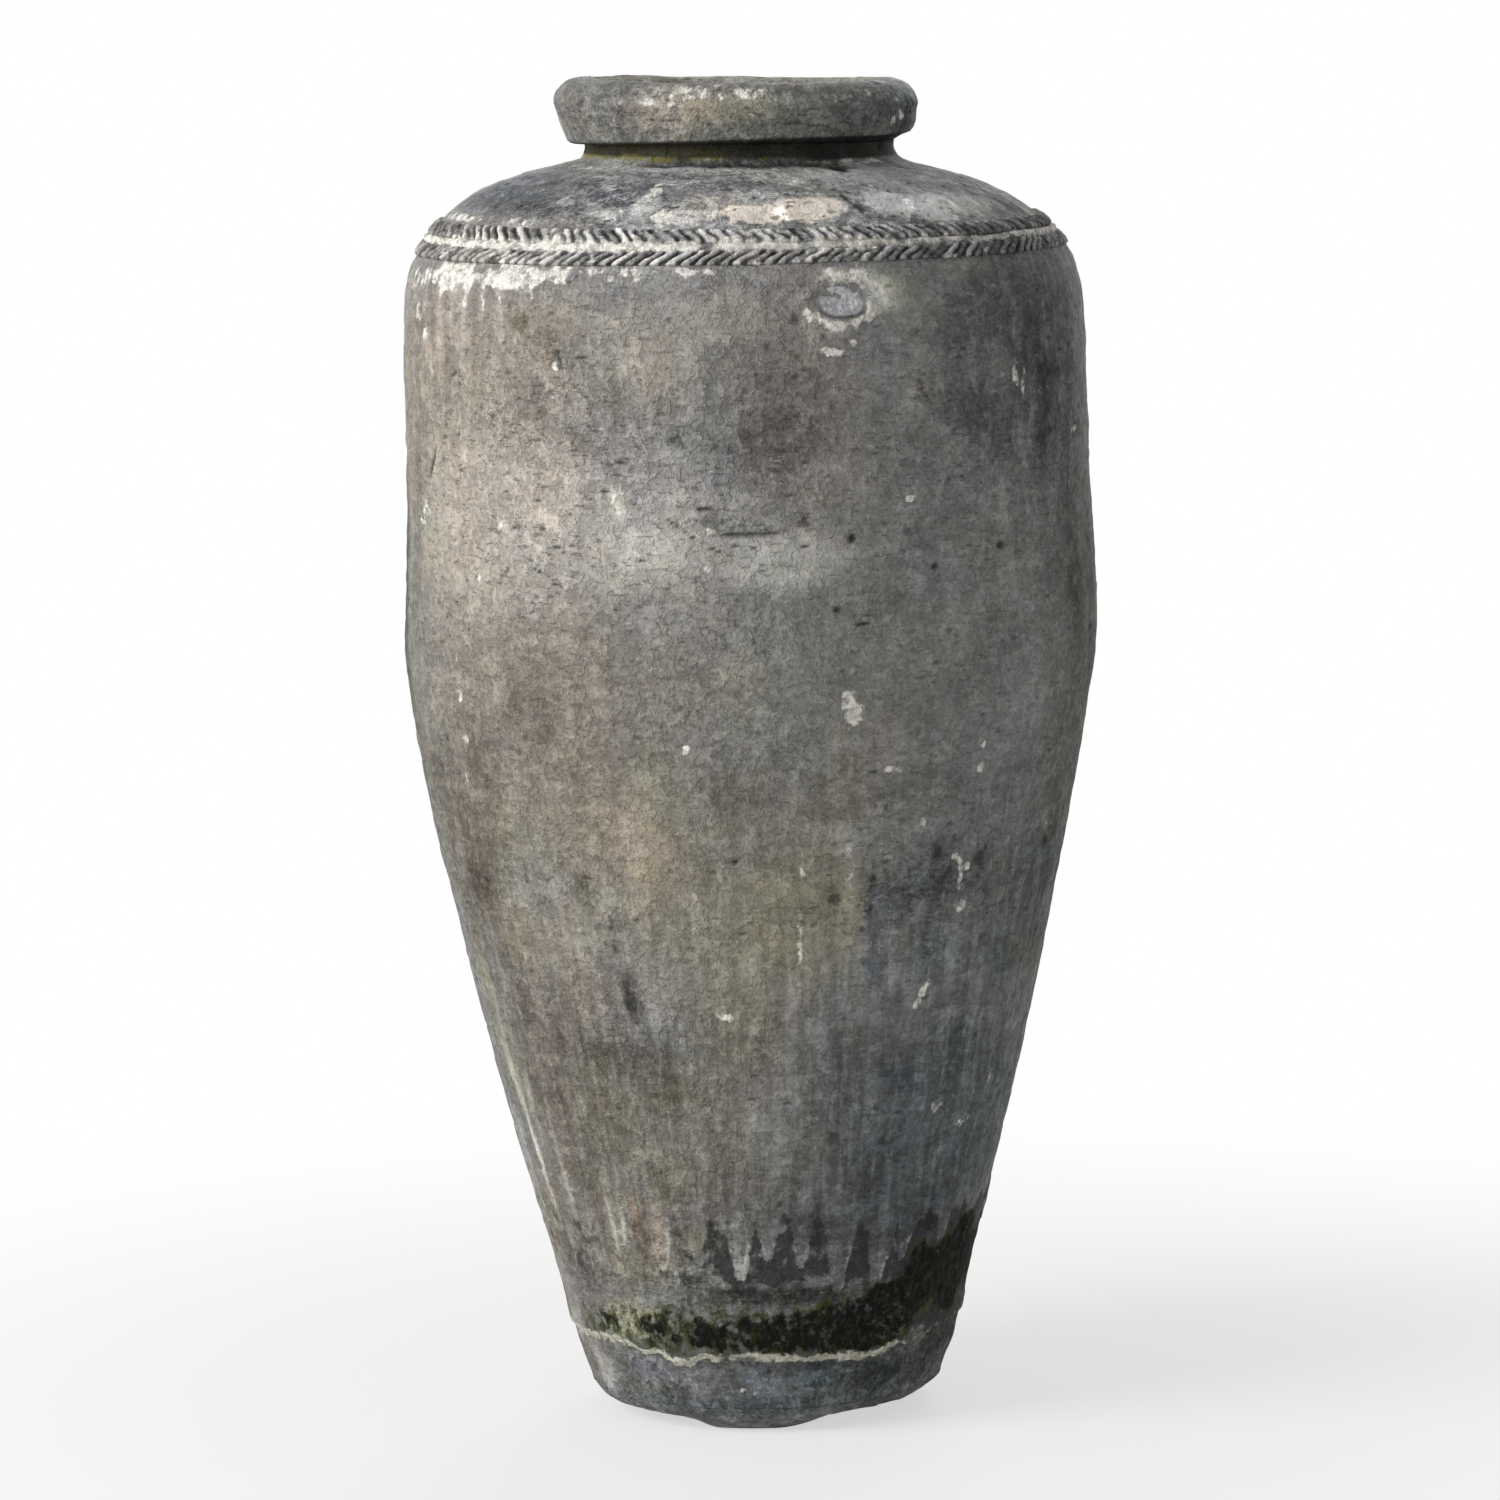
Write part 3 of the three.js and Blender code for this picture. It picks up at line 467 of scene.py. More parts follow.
# Marks that lie over the stains: azimuth, height, half width, half height, tilt, strength.
marks = {
    "moss": [(-58, 76, 26, 12, 0, 0.42), (-44, 78, 28, 15, 0, 0.45), (-26, 77, 26, 18, 0, 0.75),
        (-10, 76, 26, 18, 0, 0.8), (6, 76, 26, 18, 0, 0.9), (22, 78, 26, 21, 0, 1.1),
        (36, 84, 26, 27, 0, 1.3), (48, 106, 22, 26, 0, 1.3), (64, 110, 26, 32, 0, 1.5),
        (84, 108, 34, 20, 0, 1), (110, 96, 60, 20, 0, 0.7), (150, 88, 80, 18, 0, 0.5),
        (-150, 84, 90, 16, 0, 0.45), (-96, 84, 60, 14, 0, 0.4)],
    "chalk": [(-57, 822, 34, 9, 0, 0.85), (-42, 823, 26, 8, 0, 0.85), (-33, 825, 14, 6, 0, 0.75),
        (-72, 818, 24, 7, 0, 0.5), (-20, 826, 30, 5, 0, 0.45), (-8, 827, 14, 3, 0, 0.5),
        (17, 824, 16, 6, 0, 0.6), (-48, 808, 2.4, 12, 0, 0.55), (-53, 811, 3, 12, 3, 0.45),
        (-61, 808, 3, 14, 4, 0.42), (-44, 812, 2.4, 10, 0, 0.45), (-37, 812, 2.2, 9, 0, 0.5),
        (-67, 780, 5, 5, 0, 0.5), (-70, 795, 12, 5, 20, 0.5), (-80, 850, 30, 3, 0, 0.8),
        (-70, 858.5, 34, 2, 0, 0.7), (-48, 857, 16, 2, 0, 0.5), (-20, 877, 5, 6, -30, 0.7),
        (-21.5, 866, 5, 4, 0, 0.5), (-15, 862.5, 8, 4, 0, 0.95), (-9.5, 861, 5, 3, 0, 0.7),
        (-5.5, 863, 5, 3, 0, 0.7), (-12, 858, 16, 2, 0, 0.5), (7, 873, 6, 2.5, 30, 0.5),
        (16, 872, 7, 1.5, -20, 0.4), (15, 884, 8, 2, 10, 0.5), (33, 866, 18, 8, 0, 0.35),
        (44, 862, 18, 5, 0, 0.35), (55, 866, 18, 7, 0, 0.3), (30, 876, 12, 2, 20, 0.35),
        (44, 896, 34, 1.6, 0, 0.5), (-60, 893, 30, 1.6, 0, 0.35), (-32, 764, 3, 3.4, 0, 0.7),
        (-49.8, 616, 2, 2.4, 0, 1.2), (27, 669, 3.2, 2, 0, 1.1), (-11, 503, 2.6, 3, -30, 1.1),
        (16.8, 525, 5.5, 7, 10, 0.95), (16, 534, 4.6, 7, 20, 0.85), (41.5, 479, 3, 3.4, 0, 1),
        (41.8, 495, 1.6, 2, 0, 0.6), (24, 484, 5.5, 2, -10, 0.7), (30.4, 446, 3, 2.4, 0, 1),
        (39.6, 406, 2.4, 10, 8, 0.95), (37.8, 417, 3, 2, 0, 0.7), (41.5, 409, 2.6, 2.4, 0, 0.7),
        (41, 382, 5, 5, 0, 0.6), (33.4, 318, 2.6, 8, -25, 0.7), (35, 328, 2, 4, -20, 0.6),
        (41.8, 236, 5, 5, 0, 0.75), (66, 425, 6, 4, 0, 0.5), (14, 772, 7, 2.4, 0, 0.9),
        (18, 778, 4, 2, 0, 0.35), (-44, 656, 6, 6, 0, 0.4), (-21, 672, 5, 9, 0, 0.4),
        (-69, 655, 10, 8, 0, 0.45), (-6, 627, 5, 2, 0, 0.55), (-7, 652, 8, 3, 10, 0.5),
        (-10, 660, 5, 3, -30, 0.4), (-18, 636, 6, 3, 0, 0.4), (50, 750, 3, 8, 0, 0.7),
        (52, 742, 2, 9, 0, 0.6), (70, 704, 5, 2, 0, 0.4), (-56, 545, 3, 18, 0, 0.3),
        (-56, 500, 4, 8, 0, 0.35), (-58, 470, 2, 14, 0, 0.3), (-6, 318, 8, 8, 0, 0.3),
        (17, 412, 4, 26, 0, 0.25), (8, 385, 2, 46, 0, 0.3), (52, 218, 10, 3, 8, 0.4), (60, 246, 5, 5, 0, 0.4),
        (-5, 33, 8, 3, 0, 0.35), (-10, 944, 34, 4, 0, 0.4), (-26, 938, 20, 4, 0, 0.25),
        (8, 943, 14, 4, 0, 0.35), (62, 926, 10, 5, 35, 0.4), (52, 941, 20, 2, -10, 0.3),
        (30, 940, 14, 2, 0, 0.3)],
    "sootAndPaintedShade": [(30, 746, 6, 12, 0, 0.4), (-11, 712, 6, 6, 0, 0.5), (-2, 716, 16, 6, 0, 0.3),
        # (6, 657) and (-4, 663) are a painted shadow along the crease
        (6, 657, 36, 4, 0, 0.45), (-4, 663, 14, 3, -10, 0.35), (58, 718, 10, 26, 0, 0.55),
        (60, 748, 12, 10, 0, 0.4), (63, 770, 8, 26, 0, 0.4), (48, 700, 8, 10, 0, 0.3),
        (14.3, 395, 4, 5, 0, 0.75), (21, 392, 3.4, 17, 0, 0.6), (33.5, 421, 5, 7, 0, 0.6),
        (44, 412, 8, 10, 0, 0.6), (29, 398, 12, 16, 0, 0.35), (36, 396, 7, 16, 0, 0.4),
        (48, 382, 6, 14, 0, 0.4), (66, 414, 8, 8, 0, 0.6), (-25, 323, 5, 10, 0, 0.6),
        (-26, 340, 4, 10, 0, 0.4), (-27.5, 365, 2, 16, 0, 0.5), (-33, 403, 5, 8, 0, 0.4),
        (-45, 405, 3, 12, 0, 0.4), (-63, 498, 10, 6, 0, 0.45), (-60, 403, 12, 6, 0, 0.4),
        (-42, 410, 3, 8, 0, 0.3), (34, 893.5, 12, 2.2, 0, 0.95), (14, 895, 26, 1.2, 0, 0.6),
        (-22, 874, 16, 3, 0, 0.3), (-50, 880, 40, 2, 0, 0.35), (-40, 868, 40, 3, 0, 0.3),
        (-64, 868, 30, 2.4, 0, 0.3), (24, 868, 2.4, 7, 30, 0.6), (48, 868, 8, 3, 0, 0.35),
        (60, 873, 16, 1.5, 0, 0.4), (0, 881, 26, 3, 0, 0.3), (72, 862, 14, 9, 0, 0.4),
        (-41, 805, 3, 10, 0, 0.4), (-38, 798, 5, 6, 0, 0.35), (8, 818, 5, 5, 0, 0.2),
        (-60, 750, 8, 2, 10, 0.3), (-10, 925, 40, 1.2, 0, 0.4), (20, 922, 60, 1.2, 0, 0.4),
        (50, 930, 14, 2.4, 0, 0.45), (-58, 938, 6, 4, 30, 0.4), (70, 920, 20, 14, 0, 0.6),
        (-36, 945, 14, 3, 0, 0.3), (-40, 48, 16, 6, 0, 0.35), (-26, 30, 8, 5, 0, 0.4),
        (14, 48, 10, 6, 0, 0.4), (30, 36, 10, 6, 0, 0.3), (16, 230, 5, 16, 0, 0.3), (26, 240, 10, 14, 0, 0.3),
        (30, 210, 8, 10, 0, 0.25), (-46, 245, 8, 10, 0, 0.25), (-30, 285, 18, 6, 0, 0.3),
        (45, 145, 10, 12, 0, 0.5), (-16, 206, 6, 16, 0, 0.2), (46, 160, 3, 12, 0, 0.4)],
    "flaky": [(-35, 690, 130, 120, 0, 0.7), (0, 868, 190, 30, 0, 1), (40, 700, 120, 120, 0, 0.45),
        (0, 925, 200, 30, 0, 0.6), (30, 400, 90, 60, 0, 0.5), (0, 110, 200, 30, 0, 0.6)],
    "runs": [(0, 250, 400, 190, 0, 1), (55, 740, 60, 100, 0, 1), (-60, 770, 60, 60, 0, 0.8),
        (10, 740, 60, 60, 0, 0.4)],
}
print("stains and marks set down:", sum(map(len, [*stains.values(), leaningStains, *marks.values()])))


signedMasks = ("shade", "warm", "green")
maskNames = (*signedMasks, "flaky", "runs", "moss", "chalk", "sootAndPaintedShade", "dirtAndPaintedShade", "bare", "lip", "tips", "under",
             "neck")
markEdges = {"moss": {"ragged": 0.5, "soft": 0.5}, "chalk": {"ragged": 0.5, "soft": 0.4},
             "sootAndPaintedShade": {"ragged": 0.55, "soft": 0.6}, "flaky": {"ragged": 0.4, "soft": 0.75},
             "runs": {"ragged": 0.4, "soft": 0.75}}

# Where a tone begins, is whole, begins to fade and ends: azimuths, or heights for the last two.
reaches = {
    "lipWornOff": (36, 46, 90, 110), "glazeLetDown": (36, 46, 105, 130), "darkClay": (-24, -8, 120, 178),
    "footSoot": (-46, -30, 120, 170), "oliveNeck": (-150, -90, -20, 10), "neckShadow": (-24, 6, 90, 150),
    "neckShade": (-5, 40, 90, 150), "wornRope": (-175, -120, -44, -24),
    "footSootHeights": (72, 84, 108, 122),
    "neckHeights": (896.5, 899.5, joints["rim"] - 1, joints["rim"] + 1),
}


def backTones(masks, azimuth, place):
    # away from the front the same sorts of stain are scattered by clouds
    back = smooth(68, 105, np.abs(aroundJar(azimuth, 0)))
    broad = cloud(place, 210, 81, octaves=3, stretch=(1, 1, 1.3))
    streaks = cloud(place, 16, 94, octaves=2, stretch=(1, 1, 9))
    masks["shade"] += back * (1.1 * broad + 0.5 * cloud(place, 60, 83, octaves=3))
    masks["warm"] += back * (0.35 + 0.9 * cloud(place, 260, 84, octaves=2))
    masks["green"] += back * 0.8 * cloud(place, 200, 87, octaves=3)
    masks["flaky"] += back * 0.6 * smooth(-0.1, 0.4, cloud(place, 150, 86, octaves=2))
    masks["sootAndPaintedShade"] += back * 0.7 * smooth(0.2, 0.6, streaks) * smooth(-0.1, 0.3, -broad)
    masks["chalk"] += back * 0.6 * smooth(0.4, 0.75, streaks) * smooth(0.0, 0.3, broad)


def unbrokenLime(place):
    # 1 where the line of lime between the rope bands is whole, less where it has crumbled
    return smooth(-0.75, -0.3, cloud(place, 22, 96, octaves=2))


def limeTones(masks, azimuth, height, place):
    # the line of lime between the rope bands is brightest at the left of the front
    bright = 0.5 + 0.5 * smooth(70, 20, np.abs(aroundJar(azimuth, -35)))
    line = bell(height, relief["lineBead"]["height"], 2.6, power=4)
    masks["chalk"] += 1.6 * bright * unbrokenLime(place) * line


def lugRingTones(masks, azimuth, height, place):
    # the ring round the lug is white below, partly lime and partly a painted highlight where its lower edge
    # catches the light, cream and wide at the right, and thin elsewhere; a painted shadow lies outside it at
    # the left
    ring = relief["lugRing"]
    fromRing = fromLugRing(azimuth, height, place)
    across = alongWall(azimuth, ring["azimuth"], height)
    up = height - ring["height"]
    below = smooth(2, -10, up)
    right = smooth(8, 22, across) * smooth(-14, 0, up)
    broken = 0.45 + 0.55 * smooth(-0.4, 0.1, cloud(place, 8, 106, octaves=2))
    # the white below is lime and painted highlight together
    masks["chalk"] += broken * (0.18 + 0.8 * below) * bell(fromRing, 0, 1.6 + 2.0 * below)
    masks["chalk"] += 0.6 * right * bell(fromRing, 3, 5)
    cream = right * bell(fromRing, 5, 8)
    masks["shade"] += 1.4 * cream
    masks["green"] += 0.8 * cream
    # a painted shadow outside the ring at its left
    masks["sootAndPaintedShade"] += 0.35 * bell(fromRing, 7, 3) * (1 - right) * smooth(10, -10, across)


def footTones(masks, azimuth, height, place):
    # bare clay below the glaze and its pale lip; between the ends of the drips the clay is dark,
    # darkest to the right
    fromFront = aroundJar(azimuth, 0)
    line = footLineHeight(azimuth, place)
    masks["bare"] += smooth(line + 1.0, line - 1.0, height)
    masks["moss"] *= 1 - masks["bare"]
    lipWidth = np.maximum(3.1 + 2.3 * cloud(place, 14, 95, octaves=3), 0.8)
    lipLeft = 1 - 0.75 * between(fromFront, *reaches["lipWornOff"])
    lipLeft *= smooth(-1.0, -0.35, cloud(place, 26, 97))
    masks["lip"] += lipLeft * bell(height, line + 0.6, lipWidth, power=4)
    body, tips = dripMasks(azimuth, height, place)
    masks["tips"] += tips
    top = 160 + 14 * cloud(place, 24, 98, octaves=3)
    bottom = 112 + 12 * cloud(place, 18, 99, octaves=3) - 44 * between(fromFront, *reaches["glazeLetDown"])
    strength = 0.2 + 0.8 * between(fromFront, *reaches["darkClay"])
    mottled = 0.95 + 0.7 * cloud(place, 8, 100, octaves=3)
    masks["under"] += (between(height, bottom - 10, bottom + 8, top - 12, top + 5) * strength * mottled
                       * (1 - masks["bare"]) * (1 - body))
    specks = 0.6 * smooth(0.05, 0.5, cloud(place, 12, 104, octaves=3))
    masks["sootAndPaintedShade"] += (specks * between(height, *reaches["footSootHeights"])
                      * between(fromFront, *reaches["footSoot"]))


def neckTones(masks, azimuth, height, place):
    # the neck is stained olive, brightest at the left; at the right and under the lip it is painted dark, a
    # painted shadow of the overhanging lip
    fromFront = aroundJar(azimuth, 0)
    neck = between(height, *reaches["neckHeights"])
    masks["neck"] += neck * (0.3 + 0.7 * between(fromFront, *reaches["oliveNeck"]))
    # the right of the neck is painted dark, a painted shadow under the overhanging lip
    masks["sootAndPaintedShade"] += 0.9 * neck * between(fromFront, *reaches["neckShadow"])
    masks["dirtAndPaintedShade"] += 0.65 * neck * between(fromFront, *reaches["neckShade"])
    rim = joints["rim"]
    # a black painted shadow runs along just under the lip
    wavy = height + 1.5 * smooth(0, 60, fromFront) + 1.5 * cloud(place, 20, 105, octaves=2)
    masks["dirtAndPaintedShade"] += 1.6 * smooth(rim - 9.5, rim - 7.5, wavy) * smooth(rim + 3, rim + 1, height)


def skinTones(azimuth, height, place):
    # every mask at every point of the skin, from its stains, its marks and a few clouds
    masks = {name: np.zeros_like(height) for name in maskNames}
    listed = [(0, soft, *stain) for soft, group in stains.items() for stain in group]
    for tilt, soft, *stain in listed + leaningStains:
        shape = spot(azimuth, height, (*stain[:4], tilt, 1), place, ragged=0.45, soft=soft)
        for name, strength in zip(signedMasks, stain[4:]):
            masks[name] += strength * shape
    for name, edge in markEdges.items():
        masks[name] += spots(azimuth, height, place, marks[name], **edge)
    backTones(masks, azimuth, place)
    limeTones(masks, azimuth, height, place)
    lugRingTones(masks, azimuth, height, place)
    # the pits, the nicks and the cracks are painted dark, partly dirt and partly painted shade in the hollows
    pits = [(*pit[:5], 1) for pit in relief["pits"]]
    masks["dirtAndPaintedShade"] += spots(azimuth, height, place, pits, ragged=0.2, soft=0.5)
    masks["dirtAndPaintedShade"] += 0.6 * sum(scattered(place, hollows) for hollows in relief["scattered"])
    for crack in (relief["crease"], relief["neckCrack"]):
        masks["dirtAndPaintedShade"] += crackShape(azimuth, height, place, crack, 1.2 * crack["width"])
    footTones(masks, azimuth, height, place)
    neckTones(masks, azimuth, height, place)
    return {name: mask if name in signedMasks else np.clip(mask, 0, 1) for name, mask in masks.items()}


# From grids to meshes

def placesOnJar(azimuth, radius, height):
    # azimuth, radius and height to x, y, z, leaning as the jar leans
    angle = np.radians(azimuth)
    x = radius * np.sin(angle)
    return np.stack([x, -radius * np.cos(angle), height - x * leanSlope(height)], axis=-1)


def gridNormals(places):
    # the direction out of a grid of points [column, row]: along the columns, crossed with up the rows
    around = np.roll(places, -1, axis=0) - np.roll(places, 1, axis=0)
    up = np.gradient(places, axis=1)
    normal = np.cross(around, up)
    return normal / np.maximum(np.linalg.norm(normal, axis=-1, keepdims=True), 1e-12)


def gridMesh(name, places, masks, normals=None, rowsClose=True, poles=(False, False)):
    # joins points [column, row] round the columns, and round the rows too where the section closes;
    # a pole is a row whose points are all one
    columns, rows = places.shape[:2]
    ids = np.arange(columns * rows).reshape(columns, rows)
    for row, isPole in zip((0, rows - 1), poles):
        if isPole:
            ids[:, row] = ids[0, row]
    there = np.roll(ids, -1, axis=0)
    last = rows if rowsClose else rows - 1
    upRow = (np.arange(last) + 1) % rows
    quads = np.stack([ids[:, :last], there[:, :last], there[:, upRow], ids[:, upRow]], axis=-1).reshape(-1, 4)
    lengths = np.linalg.norm(np.diff(places[0], axis=0), axis=-1)
    closing = np.linalg.norm(places[0, 0] - places[0, -1])
    along = np.concatenate([[0], np.cumsum(lengths), [lengths.sum() + closing]])
    along = along / along[last]
    aroundUv = (np.arange(columns + 1) / columns)[:, None]
    corners = np.stack(np.broadcast_arrays(aroundUv, along[:last + 1]), axis=-1)
    uvs = np.stack([corners[:-1, :-1], corners[1:, :-1], corners[1:, 1:], corners[:-1, 1:]], axis=2)
    uvs = uvs.reshape(-1, 4, 2)
    # a quad at a pole loses the corner that it has twice
    keep = np.ones_like(quads, bool)
    keep[:, 1] = quads[:, 0] != quads[:, 1]
    keep[:, 3] = quads[:, 2] != quads[:, 3]
    used, renumbered = np.unique(quads[keep], return_inverse=True)
    sides = keep.sum(axis=1)
    mesh = bpy.data.meshes.new(name)
    mesh.vertices.add(len(used))
    mesh.vertices.foreach_set("co", (places.reshape(-1, 3)[used] * millimetre).astype(np.float32).ravel())
    mesh.loops.add(len(renumbered))
    mesh.loops.foreach_set("vertex_index", renumbered.astype(np.int32).ravel())
    mesh.polygons.add(len(sides))
    mesh.polygons.foreach_set("loop_start", (np.cumsum(sides) - sides).astype(np.int32))
    mesh.update(calc_edges=True)
    mesh.uv_layers.new(name="OFBake").uv.foreach_set("vector", uvs[keep].astype(np.float32).ravel())
    mesh.shade_smooth()
    for mask in maskNames:
        layer = mesh.attributes.new(mask, "FLOAT", "POINT")
        layer.data.foreach_set("value", masks[mask].reshape(-1)[used].astype(np.float32))
    if normals is not None:
        mesh.normals_split_custom_set_from_vertices(normals.reshape(-1, 3)[used])
    piece = bpy.data.objects.new(name, mesh)
    bpy.context.scene.collection.objects.link(piece)
    return piece


def dress(piece, node, slot):
    piece.data.materials.append(materials[slot])
    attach(piece, "root")
    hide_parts(node)
    print("made", piece.name, len(piece.data.polygons), "faces")


def outward(radius, height):
    # the direction out of a profile that runs up the outside, as radius and height parts
    dr, dz = np.gradient(radius), np.gradient(height)
    length = np.hypot(dr, dz)
    return dz / length, -dr / length


def outwardOfWall(height):
    # the same for the wall itself, from its slope
    slope = wallRadius(height + 0.5) - wallRadius(height - 0.5)
    return 1 / np.hypot(1, slope), -slope / np.hypot(1, slope)


def heightsBetween(bottom, top, spacing):
    # heights whose points lie `spacing` apart along the wall
    fine = np.linspace(bottom, top, 400)
    along = np.concatenate([[0], np.cumsum(np.hypot(np.diff(fine), np.diff(wallRadius(fine))))])
    count = max(2, int(round(along[-1] / spacing)))
    return np.interp(np.linspace(0, along[-1], count + 1), along, fine)


columnAzimuths = np.arange(jar["columns"]) * 360 / jar["columns"]


def onGrid(azimuths, *profile):
    # every azimuth against every point of a profile, given by one or two lists of numbers
    return [np.array(grid) for grid in np.broadcast_arrays(azimuths[:, None], *profile)]


def withBareRows(masks, count):
    # further rows of points that carry no mask
    return {name: np.pad(mask, ((0, 0), (0, count))) for name, mask in masks.items()}


def wallCourse(name, bottom, top, node, slot):
    # the outside of the wall with its relief, and the inside behind it
    heights = heightsBetween(bottom, top, jar["rowSpacing"])
    low = max(bottom - heights[1] + heights[0], turnHeights[0])
    high = min(top + heights[-1] - heights[-2], turnHeights[-1])
    azimuth, height = onGrid(columnAzimuths, np.concatenate([[low], heights, [high]]))
    outR, outZ = outwardOfWall(height)
    smoothPlace = placesOnJar(azimuth, wallRadius(height), height)
    rise = skinRelief(azimuth, height, smoothPlace)
    places = placesOnJar(azimuth, wallRadius(height) + outR * rise, height + outZ * rise)
    # the rows beyond both joints only serve the normals
    normals = gridNormals(places)[:, 1:-1]
    masks = skinTones(azimuth[:, 1:-1], height[:, 1:-1], smoothPlace[:, 1:-1])
    azimuth, height = onGrid(columnAzimuths, heightsBetween(top, bottom, jar["innerSpacing"]))
    outR, outZ = outwardOfWall(height)
    innerZ = height - jar["wall"] * outZ
    if bottom == joints["foot"]:
        # the lowest course stands level on the slab
        innerZ[:, -1] = bottom
    inner = placesOnJar(azimuth, wallRadius(height) - jar["wall"] * outR, innerZ)
    inner[..., :2] *= (1 + clouds(inner, jar["innerWaver"]) / wallRadius(height))[..., None]
    places = np.concatenate([places[:, 1:-1], inner], axis=1)
    normals = np.concatenate([normals, np.zeros_like(inner)], axis=1)
    dress(gridMesh(name, places, withBareRows(masks, inner.shape[1]), normals), node, slot)


# Materials

def toLinear(code):
    # "#rrggbb" as a screen shows it, to the linear colour that a shader takes
    parts = [int(code[i:i + 2], 16) / 255 for i in (1, 3, 5)]
    return [((p + 0.055) / 1.055) ** 2.4 if p > 0.04045 else p / 12.92 for p in parts] + [1]


def put(tree, socket, value):
    if isinstance(value, bpy.types.NodeSocket):
        tree.links.new(value, socket)
    elif isinstance(value, str):
        socket.default_value = toLinear(value)
    else:
        socket.default_value = value


def mixed(tree, amount, first, second):
    node = tree.nodes.new("ShaderNodeMix")
    node.data_type = "RGBA"
    for index, value in ((0, amount), (6, first), (7, second)):
        put(tree, node.inputs[index], value)
    return node.outputs[2]


def sums(tree, operation, *values, clamp=False):
    node = tree.nodes.new("ShaderNodeMath")
    node.operation = operation
    node.use_clamp = clamp
    for socket, value in zip(node.inputs, values):
        put(tree, socket, value)
    return node.outputs[0]


def ranged(tree, value, fromLow, fromHigh, toLow=0.0, toHigh=1.0):
    node = tree.nodes.new("ShaderNodeMapRange")
    node.interpolation_type = "SMOOTHSTEP"
    for socket, part in zip(node.inputs, (value, fromLow, fromHigh, toLow, toHigh)):
        put(tree, socket, part)
    return node.outputs[0]


def noise(tree, vector, scale, detail, roughness):
    node = tree.nodes.new("ShaderNodeTexNoise")
    put(tree, node.inputs["Vector"], vector)
    for name, value in (("Scale", scale), ("Detail", detail), ("Roughness", roughness)):
        put(tree, node.inputs[name], value)
    return node.outputs["Fac"]


def vectors(tree, operation, first, second):
    node = tree.nodes.new("ShaderNodeVectorMath")
    node.operation = operation
    put(tree, node.inputs[0], first)
    put(tree, node.inputs["Scale" if operation == "SCALE" else 1], second)
    return node.outputs[0]


def carried(tree, name):
    node = tree.nodes.new("ShaderNodeAttribute")
    node.attribute_name = name
    return node.outputs["Fac"]


def newGroup(name, inputs, outputs):
    # inputs are numbers with a default, or a vector where the default is None; outputs are numbers
    group = bpy.data.node_groups.new(name, "ShaderNodeTree")
    for label, default in inputs.items():
        kind = "NodeSocketVector" if default is None else "NodeSocketFloat"
        socket = group.interface.new_socket(name=label, in_out="INPUT", socket_type=kind)
        if default is not None:
            socket.default_value = default
    for label in outputs:
        group.interface.new_socket(name=label, in_out="OUTPUT", socket_type="NodeSocketFloat")
    return group, group.nodes.new("NodeGroupInput").outputs, group.nodes.new("NodeGroupOutput").inputs


def placed(tree, group, values):
    node = tree.nodes.new("ShaderNodeGroup")
    node.node_tree = group
    for name, value in values.items():
        put(tree, node.inputs[name], value)
    return node.outputs


def makeRaggedGroup():
    # a soft mask broken up by noise: where the mask is half, half of the surface is covered
    inputs = {"Mask": 0.0, "Vector": None, "Scale": 60.0, "Break": 0.45, "Sharpness": 0.15}
    group, given, out = newGroup("raggedEdge", inputs, ["Mask"])
    flake = noise(group, given["Vector"], given["Scale"], detail=5.0, roughness=0.6)
    centred = ranged(group, flake, 0.32, 0.68, -1.0, 1.0)
    pushed = sums(group, "MULTIPLY_ADD", centred, given["Break"], given["Mask"])
    low = sums(group, "SUBTRACT", 0.5, given["Sharpness"])
    high = sums(group, "ADD", 0.5, given["Sharpness"])
    cut = ranged(group, pushed, low, high)
    put(group, out["Mask"], sums(group, "MULTIPLY", cut, ranged(group, given["Mask"], 0.0, 0.12)))
    return group


# the grain's layers, fine to coarse: scale, detail, roughness, half width of edges, stops, share of the bump
grainLayers = [(380.0, 2.0, 0.6, 0.17, 0.42, 0.2), (150.0, 3.0, 0.6, 0.045, 0.28, 0.45),
               (62.0, 5.0, 0.66, 0.03, 0.24, 0.7), (24.0, 5.0, 0.66, 0.12, 0.16, 0.0)]


